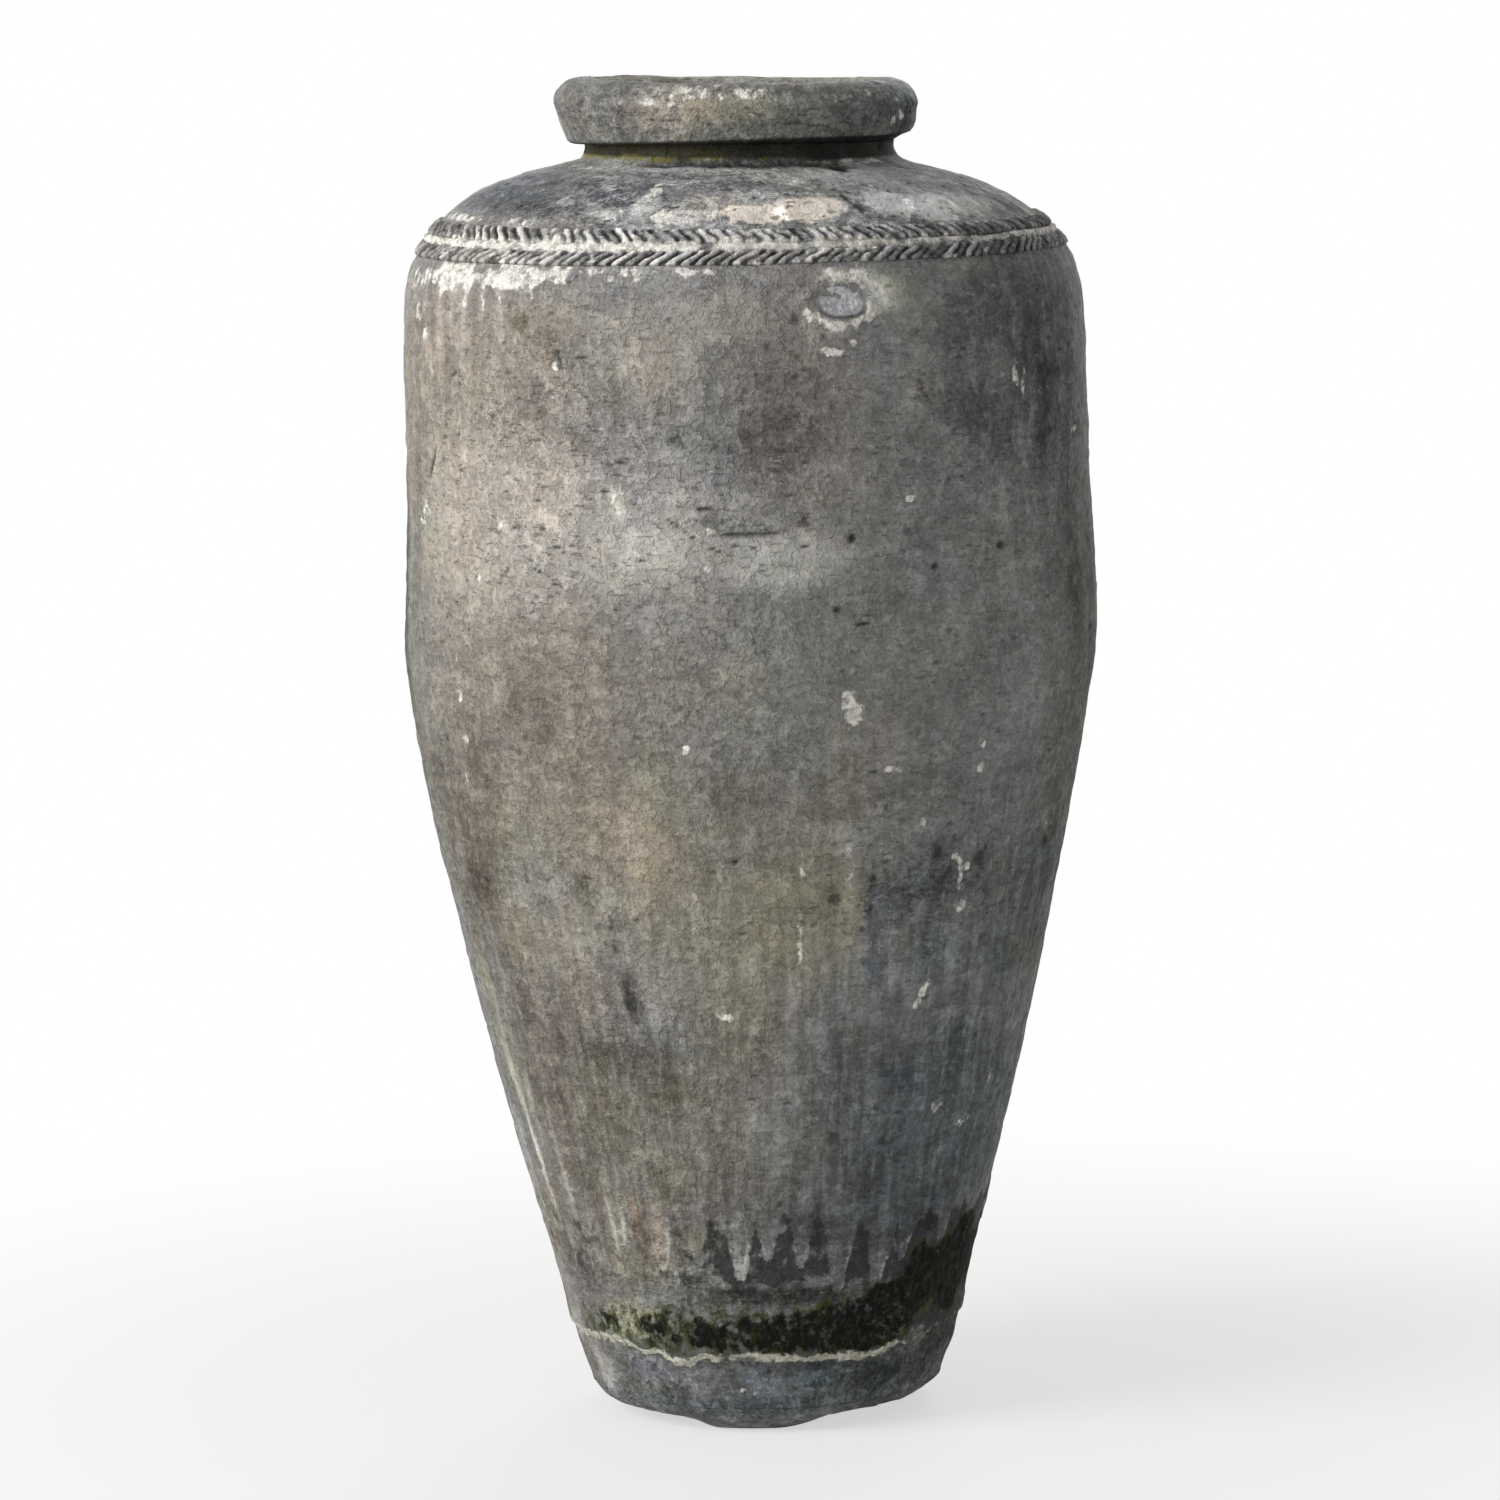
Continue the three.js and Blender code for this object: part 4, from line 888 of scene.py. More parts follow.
def makeGrainGroup():
    # the fired clay's own grain in stops: fine grain, small and large flat patches with crisp edges, streaks
    # that run down the wall and brush marks that lie level, with dark and pale flecks besides
    inputs = {"Vector": None, "Contrast": 1.0, "Runs": 0.3, "Level": 0.2}
    outputs = ["Shade", "Warmth", "Greenness", "Height", "DarkFlecks", "PaleFlecks"]
    group, given, out = newGroup("clayGrain", inputs, outputs)
    vector = given["Vector"]

    def patchy(place, scale, detail, roughness, half):
        # patches of -0.5 and 0.5; half is half the width of their edges, as noise counts it
        found = noise(group, place, scale, detail, roughness)
        return ranged(group, found, 0.5 - half, 0.5 + half, -0.5, 0.5)

    # the place divided by its distance from the axis, so that the streaks follow the taper of the wall
    flat = vectors(group, "MULTIPLY", vector, (1.0, 1.0, 0.0))
    onCircle = vectors(group, "SCALE", vectors(group, "NORMALIZE", flat, (0.0, 0.0, 0.0)), 0.2)
    unrolled = vectors(group, "ADD", onCircle, vectors(group, "MULTIPLY", vector, (0.0, 0.0, 0.12)))
    levelled = vectors(group, "MULTIPLY", vector, (1.0, 1.0, 4.0))
    shade = 0.0
    height = 0.0
    for scale, detail, roughness, half, stops, bump in grainLayers:
        patches = patchy(vector, scale, detail, roughness, half)
        shade = sums(group, "MULTIPLY_ADD", patches, stops, shade)
        height = sums(group, "MULTIPLY_ADD", patches, bump, height)
    shade = sums(group, "MULTIPLY", shade, given["Contrast"])
    falling = patchy(unrolled, 110.0, 5.0, 0.66, 0.12)
    level = patchy(levelled, 34.0, 5.0, 0.64, 0.12)
    shade = sums(group, "MULTIPLY_ADD", falling, given["Runs"], shade)
    put(group, out["Shade"], sums(group, "MULTIPLY_ADD", level, given["Level"], shade))
    put(group, out["Warmth"], patchy(vector, 70.0, 5.0, 0.65, 0.15))
    put(group, out["Greenness"], patchy(vector, 24.0, 5.0, 0.65, 0.15))
    flattened = vectors(group, "MULTIPLY", vector, (1.0, 1.0, 3.4))
    elsewhere = vectors(group, "ADD", flattened, (3.1, 1.7, 0.4))
    dark = ranged(group, noise(group, flattened, 105.0, 3.0, 0.6), 0.61, 0.65)
    pale = ranged(group, noise(group, elsewhere, 130.0, 3.0, 0.6), 0.63, 0.69)
    put(group, out["DarkFlecks"], dark)
    put(group, out["PaleFlecks"], pale)
    height = sums(group, "MULTIPLY_ADD", pale, 0.3, height)
    put(group, out["Height"], sums(group, "MULTIPLY_ADD", dark, -0.6, height))
    return group


raggedEdge = makeRaggedGroup()
clayGrain = makeGrainGroup()

# One colour for each layer over the clay, or two that it blends between.
paints = {
    "under": "#2b2b2e", "sootAndPaintedShade": "#1b1c1e", "tips": "#cfd0c8", "moss": ("#4a4b2c", "#0b0f08"),
    "neck": "#7d7626", "lip": ("#aaa797", "#e6e2d4"), "chalk": ("#aea899", "#fbf7ef"), "dirtAndPaintedShade": "#151515",
}
# The layers, lowest first: scale, break and sharpness of the ragged edge, and how strongly each covers,
# except for the chalk, which is thin in places.
paintLayers = {
    "under": (90.0, 0.45, 0.3, 0.85), "sootAndPaintedShade": (90.0, 0.4, 0.35, 0.72), "tips": (170.0, 0.3, 0.3, 0.7),
    "moss": (150.0, 0.42, 0.45, 1.0), "neck": (130.0, 0.4, 0.4, 0.82), "lip": (220.0, 0.35, 0.25, 0.9),
    "chalk": (120.0, 0.5, 0.32, None),
}
# How far the grain tints the clay, how strongly the flecks and the dirt and painted shade cover it, and its
# bump and sheen.
surface = {"warmer": 0.22, "greener": 0.3, "paleFlecks": 0.4, "darkFlecks": 0.75, "dirtAndPaintedShade": 0.86,
           "bumpStrength": 0.8, "bumpDistance": 0.0013, "specular": 0.2}


def clayColour(tree, place, clay, tone):
    # the clay's own colour: the tone, doubled for each stop of shade, tinted by warmth and greenness
    shade = carried(tree, "shade")
    stronger = sums(tree, "MULTIPLY_ADD", shade, -0.55, 1.05)
    shade = sums(tree, "MULTIPLY_ADD", clay["Shade"], stronger, shade)
    bareMottle = ranged(tree, noise(tree, place, 45.0, 6.0, 0.72), 0.4, 0.6, -0.3, 0.3)
    shade = sums(tree, "MULTIPLY_ADD", bareMottle, carried(tree, "bare"), shade)
    lightness = sums(tree, "MULTIPLY", sums(tree, "POWER", 2.0, shade), tone)
    warmth = sums(tree, "MULTIPLY_ADD", clay["Warmth"], surface["warmer"], carried(tree, "warm"))
    greenness = sums(tree, "MULTIPLY_ADD", clay["Greenness"], surface["greener"], carried(tree, "green"))
    red = sums(tree, "MULTIPLY_ADD", greenness, -0.06, sums(tree, "MULTIPLY_ADD", warmth, 0.13, 1.0))
    blue = sums(tree, "MULTIPLY_ADD", greenness, -0.10, sums(tree, "MULTIPLY_ADD", warmth, -0.16, 1.0))
    tint = tree.nodes.new("ShaderNodeCombineXYZ")
    for socket, part in zip(tint.inputs, (red, 1.0, blue)):
        put(tree, socket, part)
    return vectors(tree, "SCALE", tint.outputs[0], lightness)


def jarMaterial(name, tone, glossy, contrast, runs, level):
    # fired and weathered clay, painted in layers by the masks that the skin carries
    material = bpy.data.materials.new(name)
    material.use_nodes = True
    tree = material.node_tree
    tree.nodes.clear()
    place = tree.nodes.new("ShaderNodeTexCoord").outputs["Object"]
    flaky = carried(tree, "flaky")
    runs = sums(tree, "MULTIPLY_ADD", carried(tree, "runs"), runs, 0.06)
    level = sums(tree, "MULTIPLY_ADD", ranged(tree, flaky, 0.7, 1.0, 0.2, 1.0), 0.8, level)
    contrast = sums(tree, "MULTIPLY_ADD", sums(tree, "POWER", flaky, 3.0), 1.5, contrast)
    clay = placed(tree, clayGrain, {"Vector": place, "Contrast": contrast, "Runs": runs, "Level": level})

    def over(colour, amount, strength, paint):
        return mixed(tree, sums(tree, "MULTIPLY", amount, strength), colour, paint)

    colour = clayColour(tree, place, clay, tone)
    flecks = sums(tree, "MULTIPLY_ADD", flaky, 0.7, 0.15)
    for kind, strength, paint in (("PaleFlecks", surface["paleFlecks"], paints["chalk"][1]),
                                  ("DarkFlecks", surface["darkFlecks"], paints["sootAndPaintedShade"])):
        colour = over(colour, sums(tree, "MULTIPLY", clay[kind], flecks), strength, paint)

    # where each layer with two colours shows its second one
    tufts = vectors(tree, "MULTIPLY", place, (1.0, 1.0, 0.6))
    mossy = ranged(tree, noise(tree, tufts, 170.0, 5.0, 0.75), 0.38, 0.62, 0.6, -0.25)
    thick = ranged(tree, carried(tree, "moss"), 0.5, 1.0, 0.05, 0.95)
    dusty = ranged(tree, noise(tree, place, 200.0, 5.0, 0.7), 0.34, 0.66)
    second = {"moss": sums(tree, "ADD", mossy, thick, clamp=True), "lip": dusty,
              "chalk": sums(tree, "MULTIPLY_ADD", dusty, 1.2, 0.25, clamp=True)}
    thin = ranged(tree, noise(tree, place, 150.0, 5.0, 0.7), 0.42, 0.7, 1.0, 0.6)
    covers = {}
    for mask, (scale, breaking, sharpness, strength) in paintLayers.items():
        edge = {"Mask": carried(tree, mask), "Vector": place, "Scale": scale, "Break": breaking,
                "Sharpness": sharpness}
        covers[mask] = placed(tree, raggedEdge, edge)["Mask"]
        paint = mixed(tree, second[mask], *paints[mask]) if mask in second else paints[mask]
        colour = over(colour, covers[mask], thin if strength is None else strength, paint)
    # the darkest layer is dirt and painted shade: painted shadow under the lip, in the rope grooves and under
    # the lug
    colour = over(colour, carried(tree, "dirtAndPaintedShade"), surface["dirtAndPaintedShade"], paints["dirtAndPaintedShade"])

    roughness = sums(tree, "MULTIPLY_ADD", clay["Warmth"], 0.2, 0.95 - glossy)
    crusted = sums(tree, "ADD", covers["chalk"], covers["moss"])
    roughness = sums(tree, "MULTIPLY_ADD", crusted, 0.2, roughness, clamp=True)
    height = sums(tree, "MULTIPLY_ADD", covers["chalk"], 0.6, clay["Height"])
    height = sums(tree, "MULTIPLY_ADD", covers["lip"], 0.6, height)
    bump = tree.nodes.new("ShaderNodeBump")
    bump.inputs["Strength"].default_value = surface["bumpStrength"]
    bump.inputs["Distance"].default_value = surface["bumpDistance"]
    put(tree, bump.inputs["Height"], height)

    shader = tree.nodes.new("ShaderNodeBsdfPrincipled")
    put(tree, shader.inputs["Base Color"], colour)
    put(tree, shader.inputs["Roughness"], roughness)
    put(tree, shader.inputs["Normal"], bump.outputs[0])
    shader.inputs["Specular IOR Level"].default_value = surface["specular"]
    out = tree.nodes.new("ShaderNodeOutputMaterial")
    tree.links.new(shader.outputs[0], out.inputs["Surface"])
    return material


# Each slot's material: its name, tone, gloss, and how strong its grain, its runs and its level marks are.
materials = {
    "weathered_glaze": jarMaterial("weatheredGlaze", 0.237, 0.2, contrast=0.9, runs=0.5, level=0.1),
    "rim_glaze": jarMaterial("rimGlaze", 0.234, 0.35, contrast=1.05, runs=0.0, level=0.2),
    "foot_clay": jarMaterial("footClay", 0.228, 0.1, contrast=1.2, runs=0.1, level=0.1),
    "rope_clay": jarMaterial("ropeClay", 0.227, 0.15, contrast=1.6, runs=0.0, level=0.1),
    "broken_clay": jarMaterial("brokenClay", 0.255, 0.05, contrast=1.3, runs=0.0, level=0.0),
}
print("materials mixed")

# The courses of the wall

courses = [("footCourse", "foot", "lower", "foot_course", "foot_clay"),
           ("lowerCourse", "lower", "middle", "lower_course", "weathered_glaze"),
           ("middleCourse", "middle", "belly", "middle_course", "weathered_glaze"),
           ("bellyCourse", "belly", "upper", "belly_course", "weathered_glaze"),
           ("upperCourse", "upper", "shoulder", "upper_course", "weathered_glaze"),
           ("shoulderCap", "shoulder", "neck", "shoulder_cap", "weathered_glaze"),
           ("neckRing", "neck", "rim", "neck_ring", "weathered_glaze")]
for name, bottom, top, node, slot in courses:
    wallCourse(name, joints[bottom], joints[top], node, slot)

# The floor slab, with its edge chipped away at the left and worn up at the right

floorSlab = {
    # the underside with its kick, and the top: radius and height
    "under": [(0, 3), (30, 3), (60, 3), (80, 3), (83, 1.5), (84, 0), (92, 0)],
    "top": [(112, 20), (60, 20), (0, 20)],
    "standing": 100, "rollReach": 12, "thickness": 20, "edge": 126, "rollSteps": 16,
    # chips: azimuths from and to, over how many degrees they fade, and how far up they reach
    "chips": [(-92, -26, 7, 5.5), (25, 104, 22, 13.5)], "chipWaver": [(0.9, 16, 121, 3)],
    # a chip begins between two radii, and draws the edge in by a share of its height
    "chipInner": (62, 82), "drawnIn": 0.4, "drawnRadii": (90, 96), "drawnHeights": (18, 0),
}


def slabProfile(settings):
    # from the middle of the underside out over the kick, round the roll, and back over the top
    t = np.linspace(0, 1, settings["rollSteps"])[:, None]
    start = np.array([settings["standing"], 0.0])
    bend = np.array([settings["standing"] + settings["rollReach"], 0.0])
    end = np.array([settings["edge"], settings["thickness"]], float)
    roll = (1 - t) ** 2 * start + 2 * t * (1 - t) * bend + t ** 2 * end
    return np.concatenate([settings["under"], roll, settings["top"]])


def makeSlab(settings):
    profileR, profileZ = slabProfile(settings).T
    azimuth, radius, height = onGrid(columnAzimuths, profileR, profileZ)
    smoothPlace = placesOnJar(azimuth, radius, height)
    outR, outZ = outward(profileR, profileZ)
    # only the roll has relief
    onRoll = (profileR > settings["standing"]) & (profileZ < settings["thickness"] + 0.1)
    onRoll[-len(settings["top"]):] = False
    rise = skinRelief(azimuth, height, smoothPlace) * onRoll * smooth(0, 6, height)
    lift = np.zeros_like(height)
    for first, last, fade, reach in settings["chips"]:
        bitten = between(aroundJar(azimuth, 0), first - fade, first + fade, last - fade, last + fade)
        lift += bitten * (reach + clouds(smoothPlace, settings["chipWaver"]))
    lift *= smooth(*settings["chipInner"], radius)
    drawnIn = (settings["drawnIn"] * lift * smooth(*settings["drawnRadii"], radius)
               * smooth(*settings["drawnHeights"], height))
    lifted = height + lift * smooth(settings["thickness"] - 6, 0, height)
    places = placesOnJar(azimuth, radius + outR * rise - drawnIn, lifted + outZ * rise)
    masks = skinTones(azimuth, height, smoothPlace)
    slab = gridMesh("baseSlab", places, masks, rowsClose=False, poles=(True, True))
    dress(slab, "base_slab", "foot_clay")


makeSlab(floorSlab)

# The rolled collar. Its lower edge hangs lower at the left than at the right.

collar = {"lip": 118.5, "shoulderRise": 13, "shoulder": 124, "rim": 128, "height": 42, "rollHeight": 16,
          "throat": 96, "spacing": 1.9, "rollSteps": 40,
          "roughness": [(0.9, 70, 111), (0.6, 26, 112), (0.35, 8, 113, 2), (0.5, 6, 114, 2, (8, 8, 1))],
          "flakes": 0.4,
          # outside this radius the collar is fuller at both sides, at the right only low down
          "outside": 112, "fullerLeft": 1.6, "fullerRight": 3.0, "fullHeights": (932, 918),
          "lipDroop": {"all": 0.8, "front": 1.0, "right": 3.6, "inner": 108, "fadeBy": 930}}


def collarProfile(settings):
    # along the seat to the lip, up the slope, over the rolled top and down the throat
    seat, rollHeight = joints["rim"], settings["rollHeight"]
    crest = seat + settings["height"] - rollHeight
    middle = (settings["rim"] + settings["throat"]) / 2
    half = (settings["rim"] - settings["throat"]) / 2
    turn = np.linspace(0, np.pi, settings["rollSteps"])
    roll = np.stack([middle + half * np.cos(turn), crest + rollHeight * np.sin(turn)], axis=-1)
    seatAndSlope = [(settings["throat"], seat), (settings["lip"] - 1.5, seat), (settings["lip"], seat + 1),
                    (settings["shoulder"], seat + settings["shoulderRise"])]
    turns = np.concatenate([seatAndSlope, roll, [(settings["throat"], seat)]])
    along = np.concatenate([[0], np.cumsum(np.linalg.norm(np.diff(turns, axis=0), axis=-1))])
    at = np.linspace(0, along[-1], int(along[-1] / settings["spacing"]) + 1)[:-1]
    return np.interp(at, along, turns[:, 0]), np.interp(at, along, turns[:, 1])


def makeCollar(settings):
    profileR, profileZ = collarProfile(settings)
    wrapped = [np.pad(profile, 1, mode="wrap") for profile in (profileR, profileZ)]
    outR, outZ = [part[1:-1] for part in outward(*wrapped)]
    azimuth, radius, height = onGrid(columnAzimuths, profileR, profileZ)
    smoothPlace = placesOnJar(azimuth, radius, height)
    right, front = np.sin(np.radians(azimuth)), np.cos(np.radians(azimuth))
    outside = radius > settings["outside"]
    flakes = smooth(-0.03, 0.05, cloud(smoothPlace, 30, 115, octaves=4, stretch=(2, 2, 1)))
    rise = clouds(smoothPlace, settings["roughness"]) + settings["flakes"] * flakes
    rise -= scatteredDepth(smoothPlace)
    low = smooth(*settings["fullHeights"], height)
    rise += settings["fullerLeft"] * smooth(0.2, 1, -right) * outside
    rise += settings["fullerRight"] * smooth(0.3, 1, right) * low * outside
    rise *= smooth(0, 3, height - joints["rim"])
    places = placesOnJar(azimuth, radius + outR * rise, height + outZ * rise)
    droop = settings["lipDroop"]
    places[..., 2] += ((droop["all"] + droop["front"] * front + droop["right"] * right)
                       * smooth(droop["inner"], settings["lip"], radius)
                       * smooth(droop["fadeBy"], joints["rim"] + 1, height))
    normals = gridNormals(np.pad(places, ((0, 0), (1, 1), (0, 0)), mode="wrap"))[:, 1:-1]
    masks = skinTones(azimuth, height, smoothPlace)
    masks["bare"] = masks["moss"] = masks["under"] = masks["neck"] = np.zeros_like(rise)
    # the seat under the lip is painted black, a painted shadow of the lip
    masks["dirtAndPaintedShade"] = np.maximum(masks["dirtAndPaintedShade"], smooth(joints["rim"] + 3, joints["rim"] + 0.5, height))
    dress(gridMesh("rimCollar", places, masks, normals), "rim_collar", "rim_glaze")


makeCollar(collar)

# The rope bands

ropes = {
    "lowerRopeBand": {"bottom": 831, "height": 10, "lean": 14, "node": "lower_rope_band", "seed": 201},
    "upperRopeBand": {"bottom": 845.5, "height": 9, "lean": -8, "node": "upper_rope_band", "seed": 231},
    "pitch": 9.4, "columnsPerStrand": 12, "rows": 15, "thickness": 3.4, "edge": 0.2, "groove": 3.2,
    "bow": 1.4, "seat": 0.5, "seatEdge": 0.2,
    "limeWaver": [(1.4, 7, 243, 2)], "limeWidth": 3.6, "brightest": -10,
}


def strandShape(across, azimuth, strands, place, settings, shared):
    # each strand's own random number, and how far a point lies from its middle towards the groove
    wander = clouds(place, [(3.0, 34, settings["seed"]), (3.4, 12, settings["seed"] + 1, 2)])
    bow = shared["bow"] * np.sin(2 * np.pi * (across - 0.5)) * np.sign(settings["lean"])
    phase = azimuth / 360 * strands - ((across - 0.5) * settings["lean"] + bow - wander) / shared["pitch"]
    strand = np.floor(phase).astype(np.int64) % strands
    own = hashed(strand, strand * 0 + 3, strand * 0 + 5, settings["seed"]) / 2 + 0.5
    return own, np.abs(2 * (phase % 1) - 1)


def ropeTones(masks, place, height, fromFront, form, seed, shared):
    # painted shade in the grooves and along both edges where the band meets the wall, dirt where the strands
    # are worn, a painted highlight on the strand crests towards the front, and lime on the strands and over
    # the edges by the line between
    own, fromMiddle, arch, worn = form
    ridge = smooth(1.0, 0.3, fromMiddle)
    fromBrightest = np.abs(aroundJar(fromFront, shared["brightest"]))
    crumbs = smooth(0.1, 0.5, cloud(place, 7, seed + 5, octaves=2))
    level = height + clouds(place, shared["limeWaver"])
    limed = (bell(level, relief["lineBead"]["height"], shared["limeWidth"], power=4) * unbrokenLime(place)
             * smooth(85, 15, fromBrightest))
    # the grooves and both edges, where the band meets the wall, are painted dark: painted shade
    grooves = smooth(0.45, 0.72, fromMiddle) * (1 - 0.5 * worn)
    edges = 0.7 * smooth(0.45, 0.15, arch)
    masks["dirtAndPaintedShade"] = np.clip(grooves + edges + 0.8 * worn * crumbs, 0, 1) * (1 - limed)
    # the strand crests are painted lighter towards the front, a painted highlight; each strand also has its
    # own tone
    masks["shade"] += 1.8 * (own - 0.5) + (0.1 + 1.0 * ridge) * smooth(75, 10, fromBrightest)
    filled = 0.6 * worn * smooth(0.0, 0.4, cloud(place, 9, 247, octaves=3))
    pale = 1.15 * ridge * own * smooth(-0.2, 0.3, cloud(place, 24, 241, octaves=2))
    masks["chalk"] = np.clip(1.05 * limed + (pale + filled) * smooth(80, 10, fromBrightest), 0, 1)


def ropeBand(name, settings, shared):
    # strands lie side by side round the dome; across the band each rises as an arch, and between
    # two of them the clay dips in a groove that leans with them
    bottom, top = settings["bottom"], settings["bottom"] + settings["height"]
    strands = int(round(2 * np.pi * wallRadius((bottom + top) / 2) / shared["pitch"]))
    columns = strands * shared["columnsPerStrand"]
    across = np.linspace(0, 1, shared["rows"])
    azimuth, height = onGrid(np.arange(columns) * 360 / columns, bottom + (top - bottom) * across)
    fromFront = aroundJar(azimuth, 0)
    outR, outZ = outwardOfWall(height)
    smoothPlace = placesOnJar(azimuth, wallRadius(height), height)
    own, fromMiddle = strandShape(across, azimuth, strands, smoothPlace, settings, shared)
    worn = smooth(-0.25, 0.4, cloud(smoothPlace, 26, settings["seed"] + 2, octaves=3))
    if settings["lean"] > 0:
        worn = np.maximum(worn, 0.85 * between(fromFront, *reaches["wornRope"]))
    arch = np.sqrt(np.clip(1 - (2 * across - 1) ** 2, 0, 1)) ** 0.6
    groove = shared["groove"] * (1 - 0.7 * worn) * (1 - smooth(1.0, 0.3, fromMiddle))
    full = shared["thickness"] * (0.62 + 0.38 * own) - 1.0 * worn
    thickness = shared["edge"] + arch * np.maximum(full - groove, 0.1)
    thickness += (0.5 + 1.1 * worn) * arch * cloud(smoothPlace, 5, settings["seed"] + 4, octaves=2)
    rise = skinRelief(azimuth, height, smoothPlace) * (1 - 0.6 * arch) + thickness
    rise -= shared["seat"] * (arch < shared["seatEdge"])
    front = placesOnJar(azimuth, wallRadius(height) + outR * rise, height + outZ * rise)
    # the back of the band lies inside the wall, below every point of the front
    depth = shared["seat"] - rise.min(axis=1, keepdims=True)
    sunk = placesOnJar(azimuth, wallRadius(height) - outR * depth, height - outZ * depth)
    places = np.concatenate([front, sunk[:, -1:], sunk[:, :1]], axis=1)
    masks = skinTones(azimuth, height, smoothPlace)
    form = (own, fromMiddle, arch, worn)
    ropeTones(masks, smoothPlace, height, fromFront, form, settings["seed"], shared)
    dress(gridMesh(name, places, withBareRows(masks, 2)), settings["node"], "rope_clay")


for name in ("lowerRopeBand", "upperRopeBand"):
    ropeBand(name, ropes[name], ropes)

# The root of the broken lug

lug = {"azimuth": 16, "height": 805.5, "halfWidth": 19, "halfHeight": 12, "standOff": 4.4, "columns": 160,
       "rows": 36, "dish": 0.6, "torn": [(1.7, 9, 302, 3), (0.4, 3, 303)], "setBack": 0.9, "rootDepth": 1.4}


def lugStub(settings):
    # an oval lump: it rises steeply at its edge, is dished in the middle, and its face is torn
    turn = np.arange(settings["columns"]) * 2 * np.pi / settings["columns"]
    reach = np.linspace(0, 1, settings["rows"])[::-1] ** 0.8
    wide = settings["halfWidth"] * reach * np.cos(turn)[:, None]
    high = settings["halfHeight"] * reach * np.sin(turn)[:, None]
    height = settings["height"] + high
    azimuth = settings["azimuth"] + np.degrees(wide / wallRadius(height))
    smoothPlace = placesOnJar(azimuth, wallRadius(height), height)
    edge = smooth(1.0, 0.82, reach + 0.06 * cloud(smoothPlace, 8, 301, octaves=2))
    lower = smooth(3, -7, high + 0.3 * wide)
    rise = edge * settings["standOff"] * (0.5 + 0.6 * lower) - settings["dish"] * smooth(0.75, 0.2, reach)
    rise += clouds(smoothPlace, settings["torn"]) * edge - settings["setBack"]
    front = placesOnJar(azimuth, wallRadius(height) + rise, height)
    back = placesOnJar(azimuth, wallRadius(height) - settings["rootDepth"], height)
    masks = skinTones(azimuth, height, smoothPlace)
    masks["chalk"] = 0.3 * smooth(0.85, 0.95, reach) * (1 - lower)
    masks["sootAndPaintedShade"] = np.zeros_like(height)
    # the lump's lower edge is painted dark, a painted shadow where it stands out over the wall
    masks["dirtAndPaintedShade"] = 0.9 * smooth(0.72, 0.9, reach) * smooth(2, -6, high + 0.9 * wide)
    masks["shade"] = 1.0 + 0.2 * smooth(-6, 6, high + 0.6 * wide)
    masks["warm"] = np.full_like(height, -0.1)
    masks["green"] = np.zeros_like(height)
    # the rows run from the middle of the back out to its edge, and in again over the front
    masks = {key: np.concatenate([mask[:, ::-1], mask], axis=1) for key, mask in masks.items()}
    places = np.concatenate([back[:, ::-1], front], axis=1)
    piece = gridMesh("lugStub", places, masks, rowsClose=False, poles=(True, True))
    dress(piece, "lug_stub", "broken_clay")


lugStub(lug)

# Floor, lights and camera

# haze: how far out it begins and is whole, and how much of it there is at both
studio = {"floor": "#e4e4e2", "floorRoughness": 0.9, "halfFloor": 30, "haze": (0.3, 1.2, 0.6, 1.0),
          "world": 0.38}


def cameraSees(tree):
    # 1 for what the camera sees itself, or in gloss or glass, and 0 for light that only bounces
    path = tree.nodes.new("ShaderNodeLightPath")
    return sums(tree, "MAXIMUM", path.outputs["Is Camera Ray"],
                sums(tree, "MAXIMUM", path.outputs["Is Glossy Ray"], path.outputs["Is Transmission Ray"]))


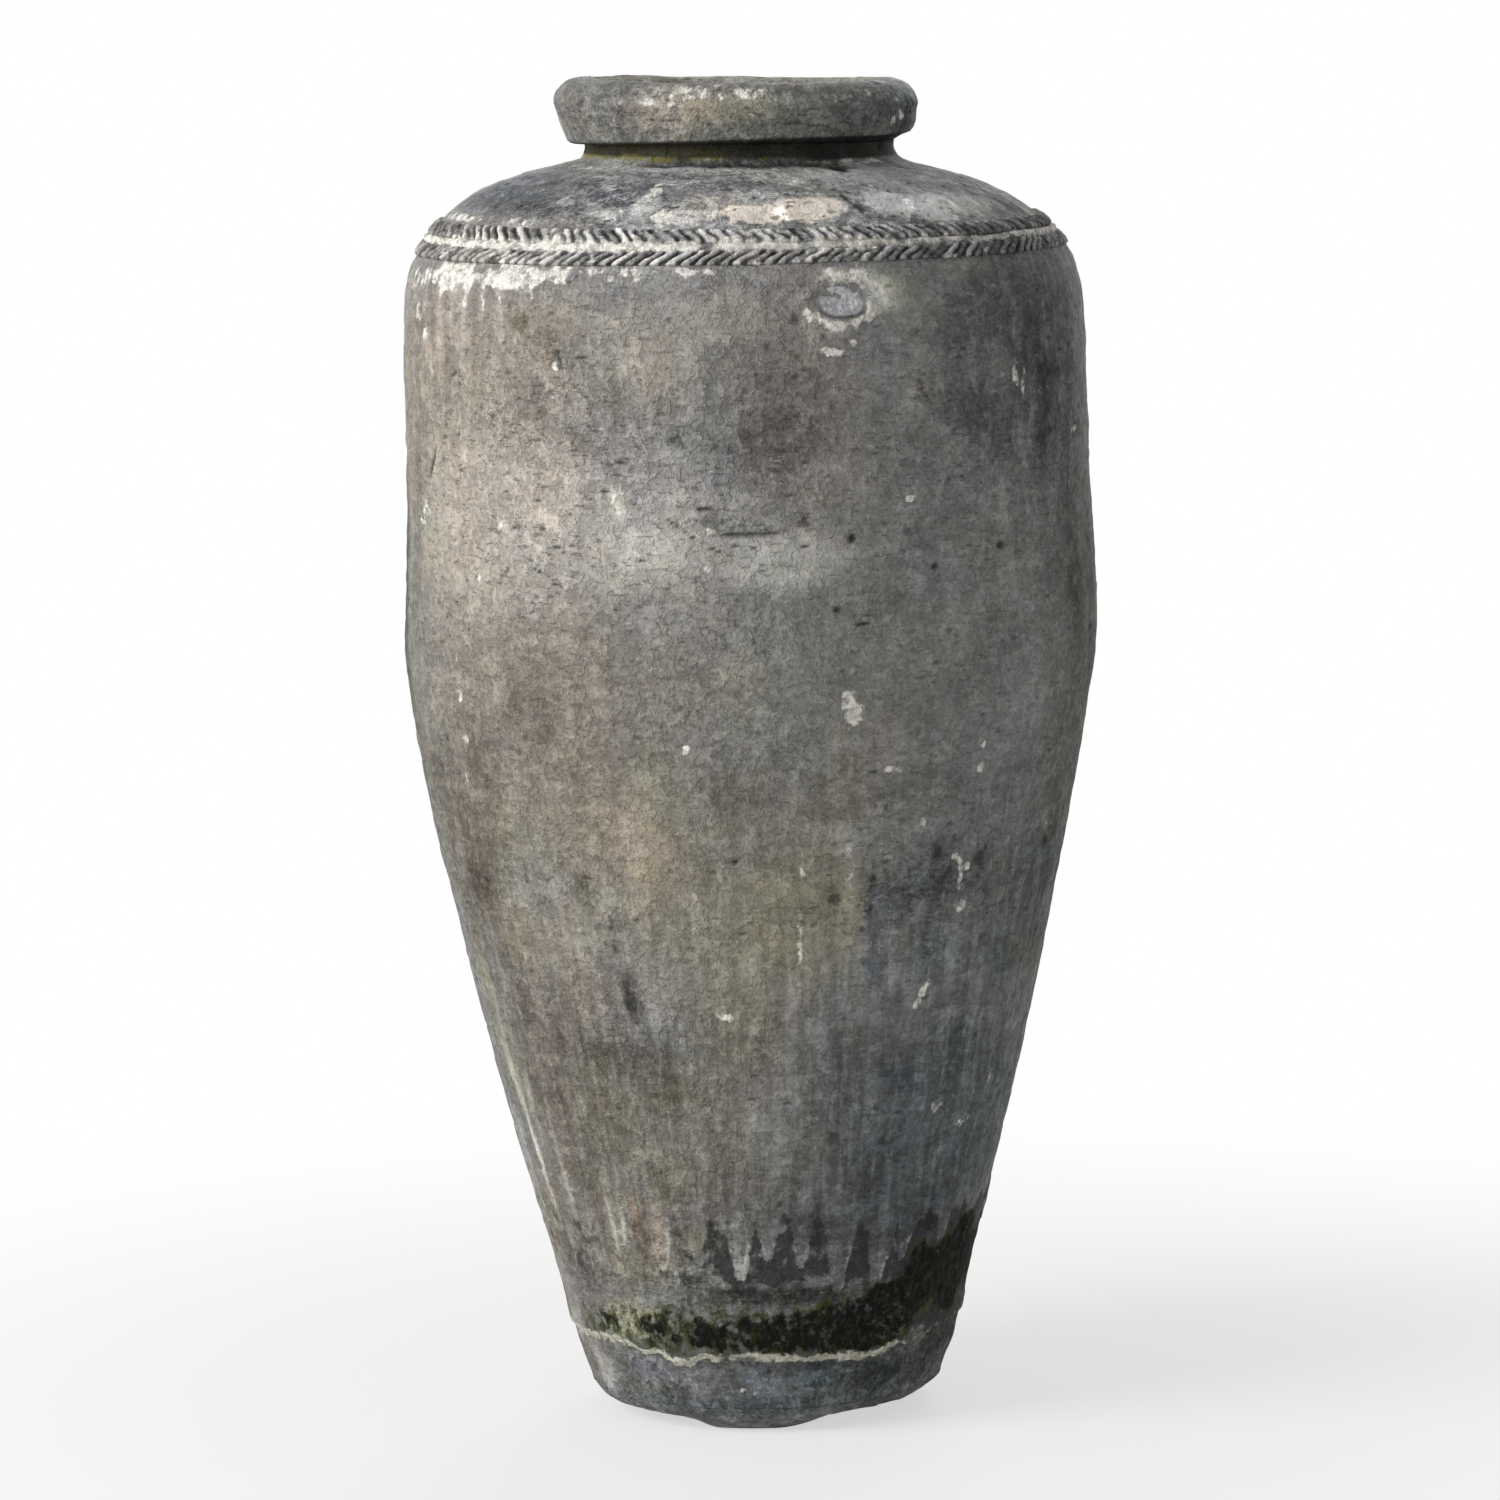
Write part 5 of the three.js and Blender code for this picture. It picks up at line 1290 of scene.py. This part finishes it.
def makeFloor(settings):
    # a pale floor that takes the jar's shadow near the foot and is lost in white further off
    mesh = bpy.data.meshes.new("floor")
    half = settings["halfFloor"]
    corners = [(-half, -half, 0), (half, -half, 0), (half, half, 0), (-half, half, 0)]
    mesh.from_pydata(corners, [], [(0, 1, 2, 3)])
    floor = bpy.data.objects.new("floor", mesh)
    bpy.context.scene.collection.objects.link(floor)
    material = bpy.data.materials.new("paleFloor")
    material.use_nodes = True
    tree = material.node_tree
    shader = tree.nodes["Principled BSDF"]
    shader.inputs["Base Color"].default_value = toLinear(settings["floor"])
    shader.inputs["Roughness"].default_value = settings["floorRoughness"]
    white = tree.nodes.new("ShaderNodeEmission")
    away = tree.nodes.new("ShaderNodeVectorMath")
    away.operation = "LENGTH"
    put(tree, away.inputs[0], tree.nodes.new("ShaderNodeTexCoord").outputs["Object"])
    haze = ranged(tree, away.outputs["Value"], *settings["haze"])
    blend = tree.nodes.new("ShaderNodeMixShader")
    put(tree, blend.inputs[0], sums(tree, "MULTIPLY", haze, cameraSees(tree)))
    put(tree, blend.inputs[1], shader.outputs[0])
    put(tree, blend.inputs[2], white.outputs[0])
    put(tree, tree.nodes["Material Output"].inputs["Surface"], blend.outputs[0])
    mesh.materials.append(material)


makeFloor(studio)

world = bpy.data.worlds.new("studio")
bpy.context.scene.world = world
world.use_nodes = True
background = world.node_tree.nodes["Background"]
background.inputs["Color"].default_value = (1, 1, 1, 1)
put(world.node_tree, background.inputs["Strength"],
    ranged(world.node_tree, cameraSees(world.node_tree), 0.0, 1.0, studio["world"], 1.0))


def softLight(name, place, aim, size, power):
    light = bpy.data.lights.new(name, "AREA")
    light.size = size
    light.energy = power
    lamp = bpy.data.objects.new(name, light)
    back = np.array(place) - np.array(aim)
    back = back / np.linalg.norm(back)
    side = np.cross([0, 0, 1], back)
    side /= np.linalg.norm(side)
    upward = np.cross(back, side)
    lamp.matrix_world = Matrix([[side[i], upward[i], back[i], place[i]] for i in range(3)] + [[0, 0, 0, 1]])
    bpy.context.scene.collection.objects.link(lamp)


middle = (0, 0, 0.5)
softLight("keyLight", (-3.6, -1.7, 2.4), middle, size=2.4, power=168)
softLight("backLight", (1.2, 4.4, 2.4), middle, size=2.2, power=60)

camera = {"distance": 4.6, "height": 1.06, "pitch": 7.28, "roll": 1.35, "lens": 155.45, "sensor": 36,
          "sideways": -0.0018}
cameraData = bpy.data.cameras.new("photoView")
cameraData.sensor_width = camera["sensor"]
cameraData.lens = camera["lens"]
cameraData.clip_end = 100
cameraObject = bpy.data.objects.new("photoView", cameraData)
cameraObject.matrix_world = (Matrix.Translation((camera["sideways"], -camera["distance"], camera["height"]))
                             @ Matrix.Rotation(math.radians(90 - camera["pitch"]), 4, "X")
                             @ Matrix.Rotation(math.radians(-camera["roll"]), 4, "Z"))
bpy.context.scene.collection.objects.link(cameraObject)
bpy.context.scene.camera = cameraObject
bpy.context.scene.view_settings.view_transform = "Standard"
print("studio lit, camera set")
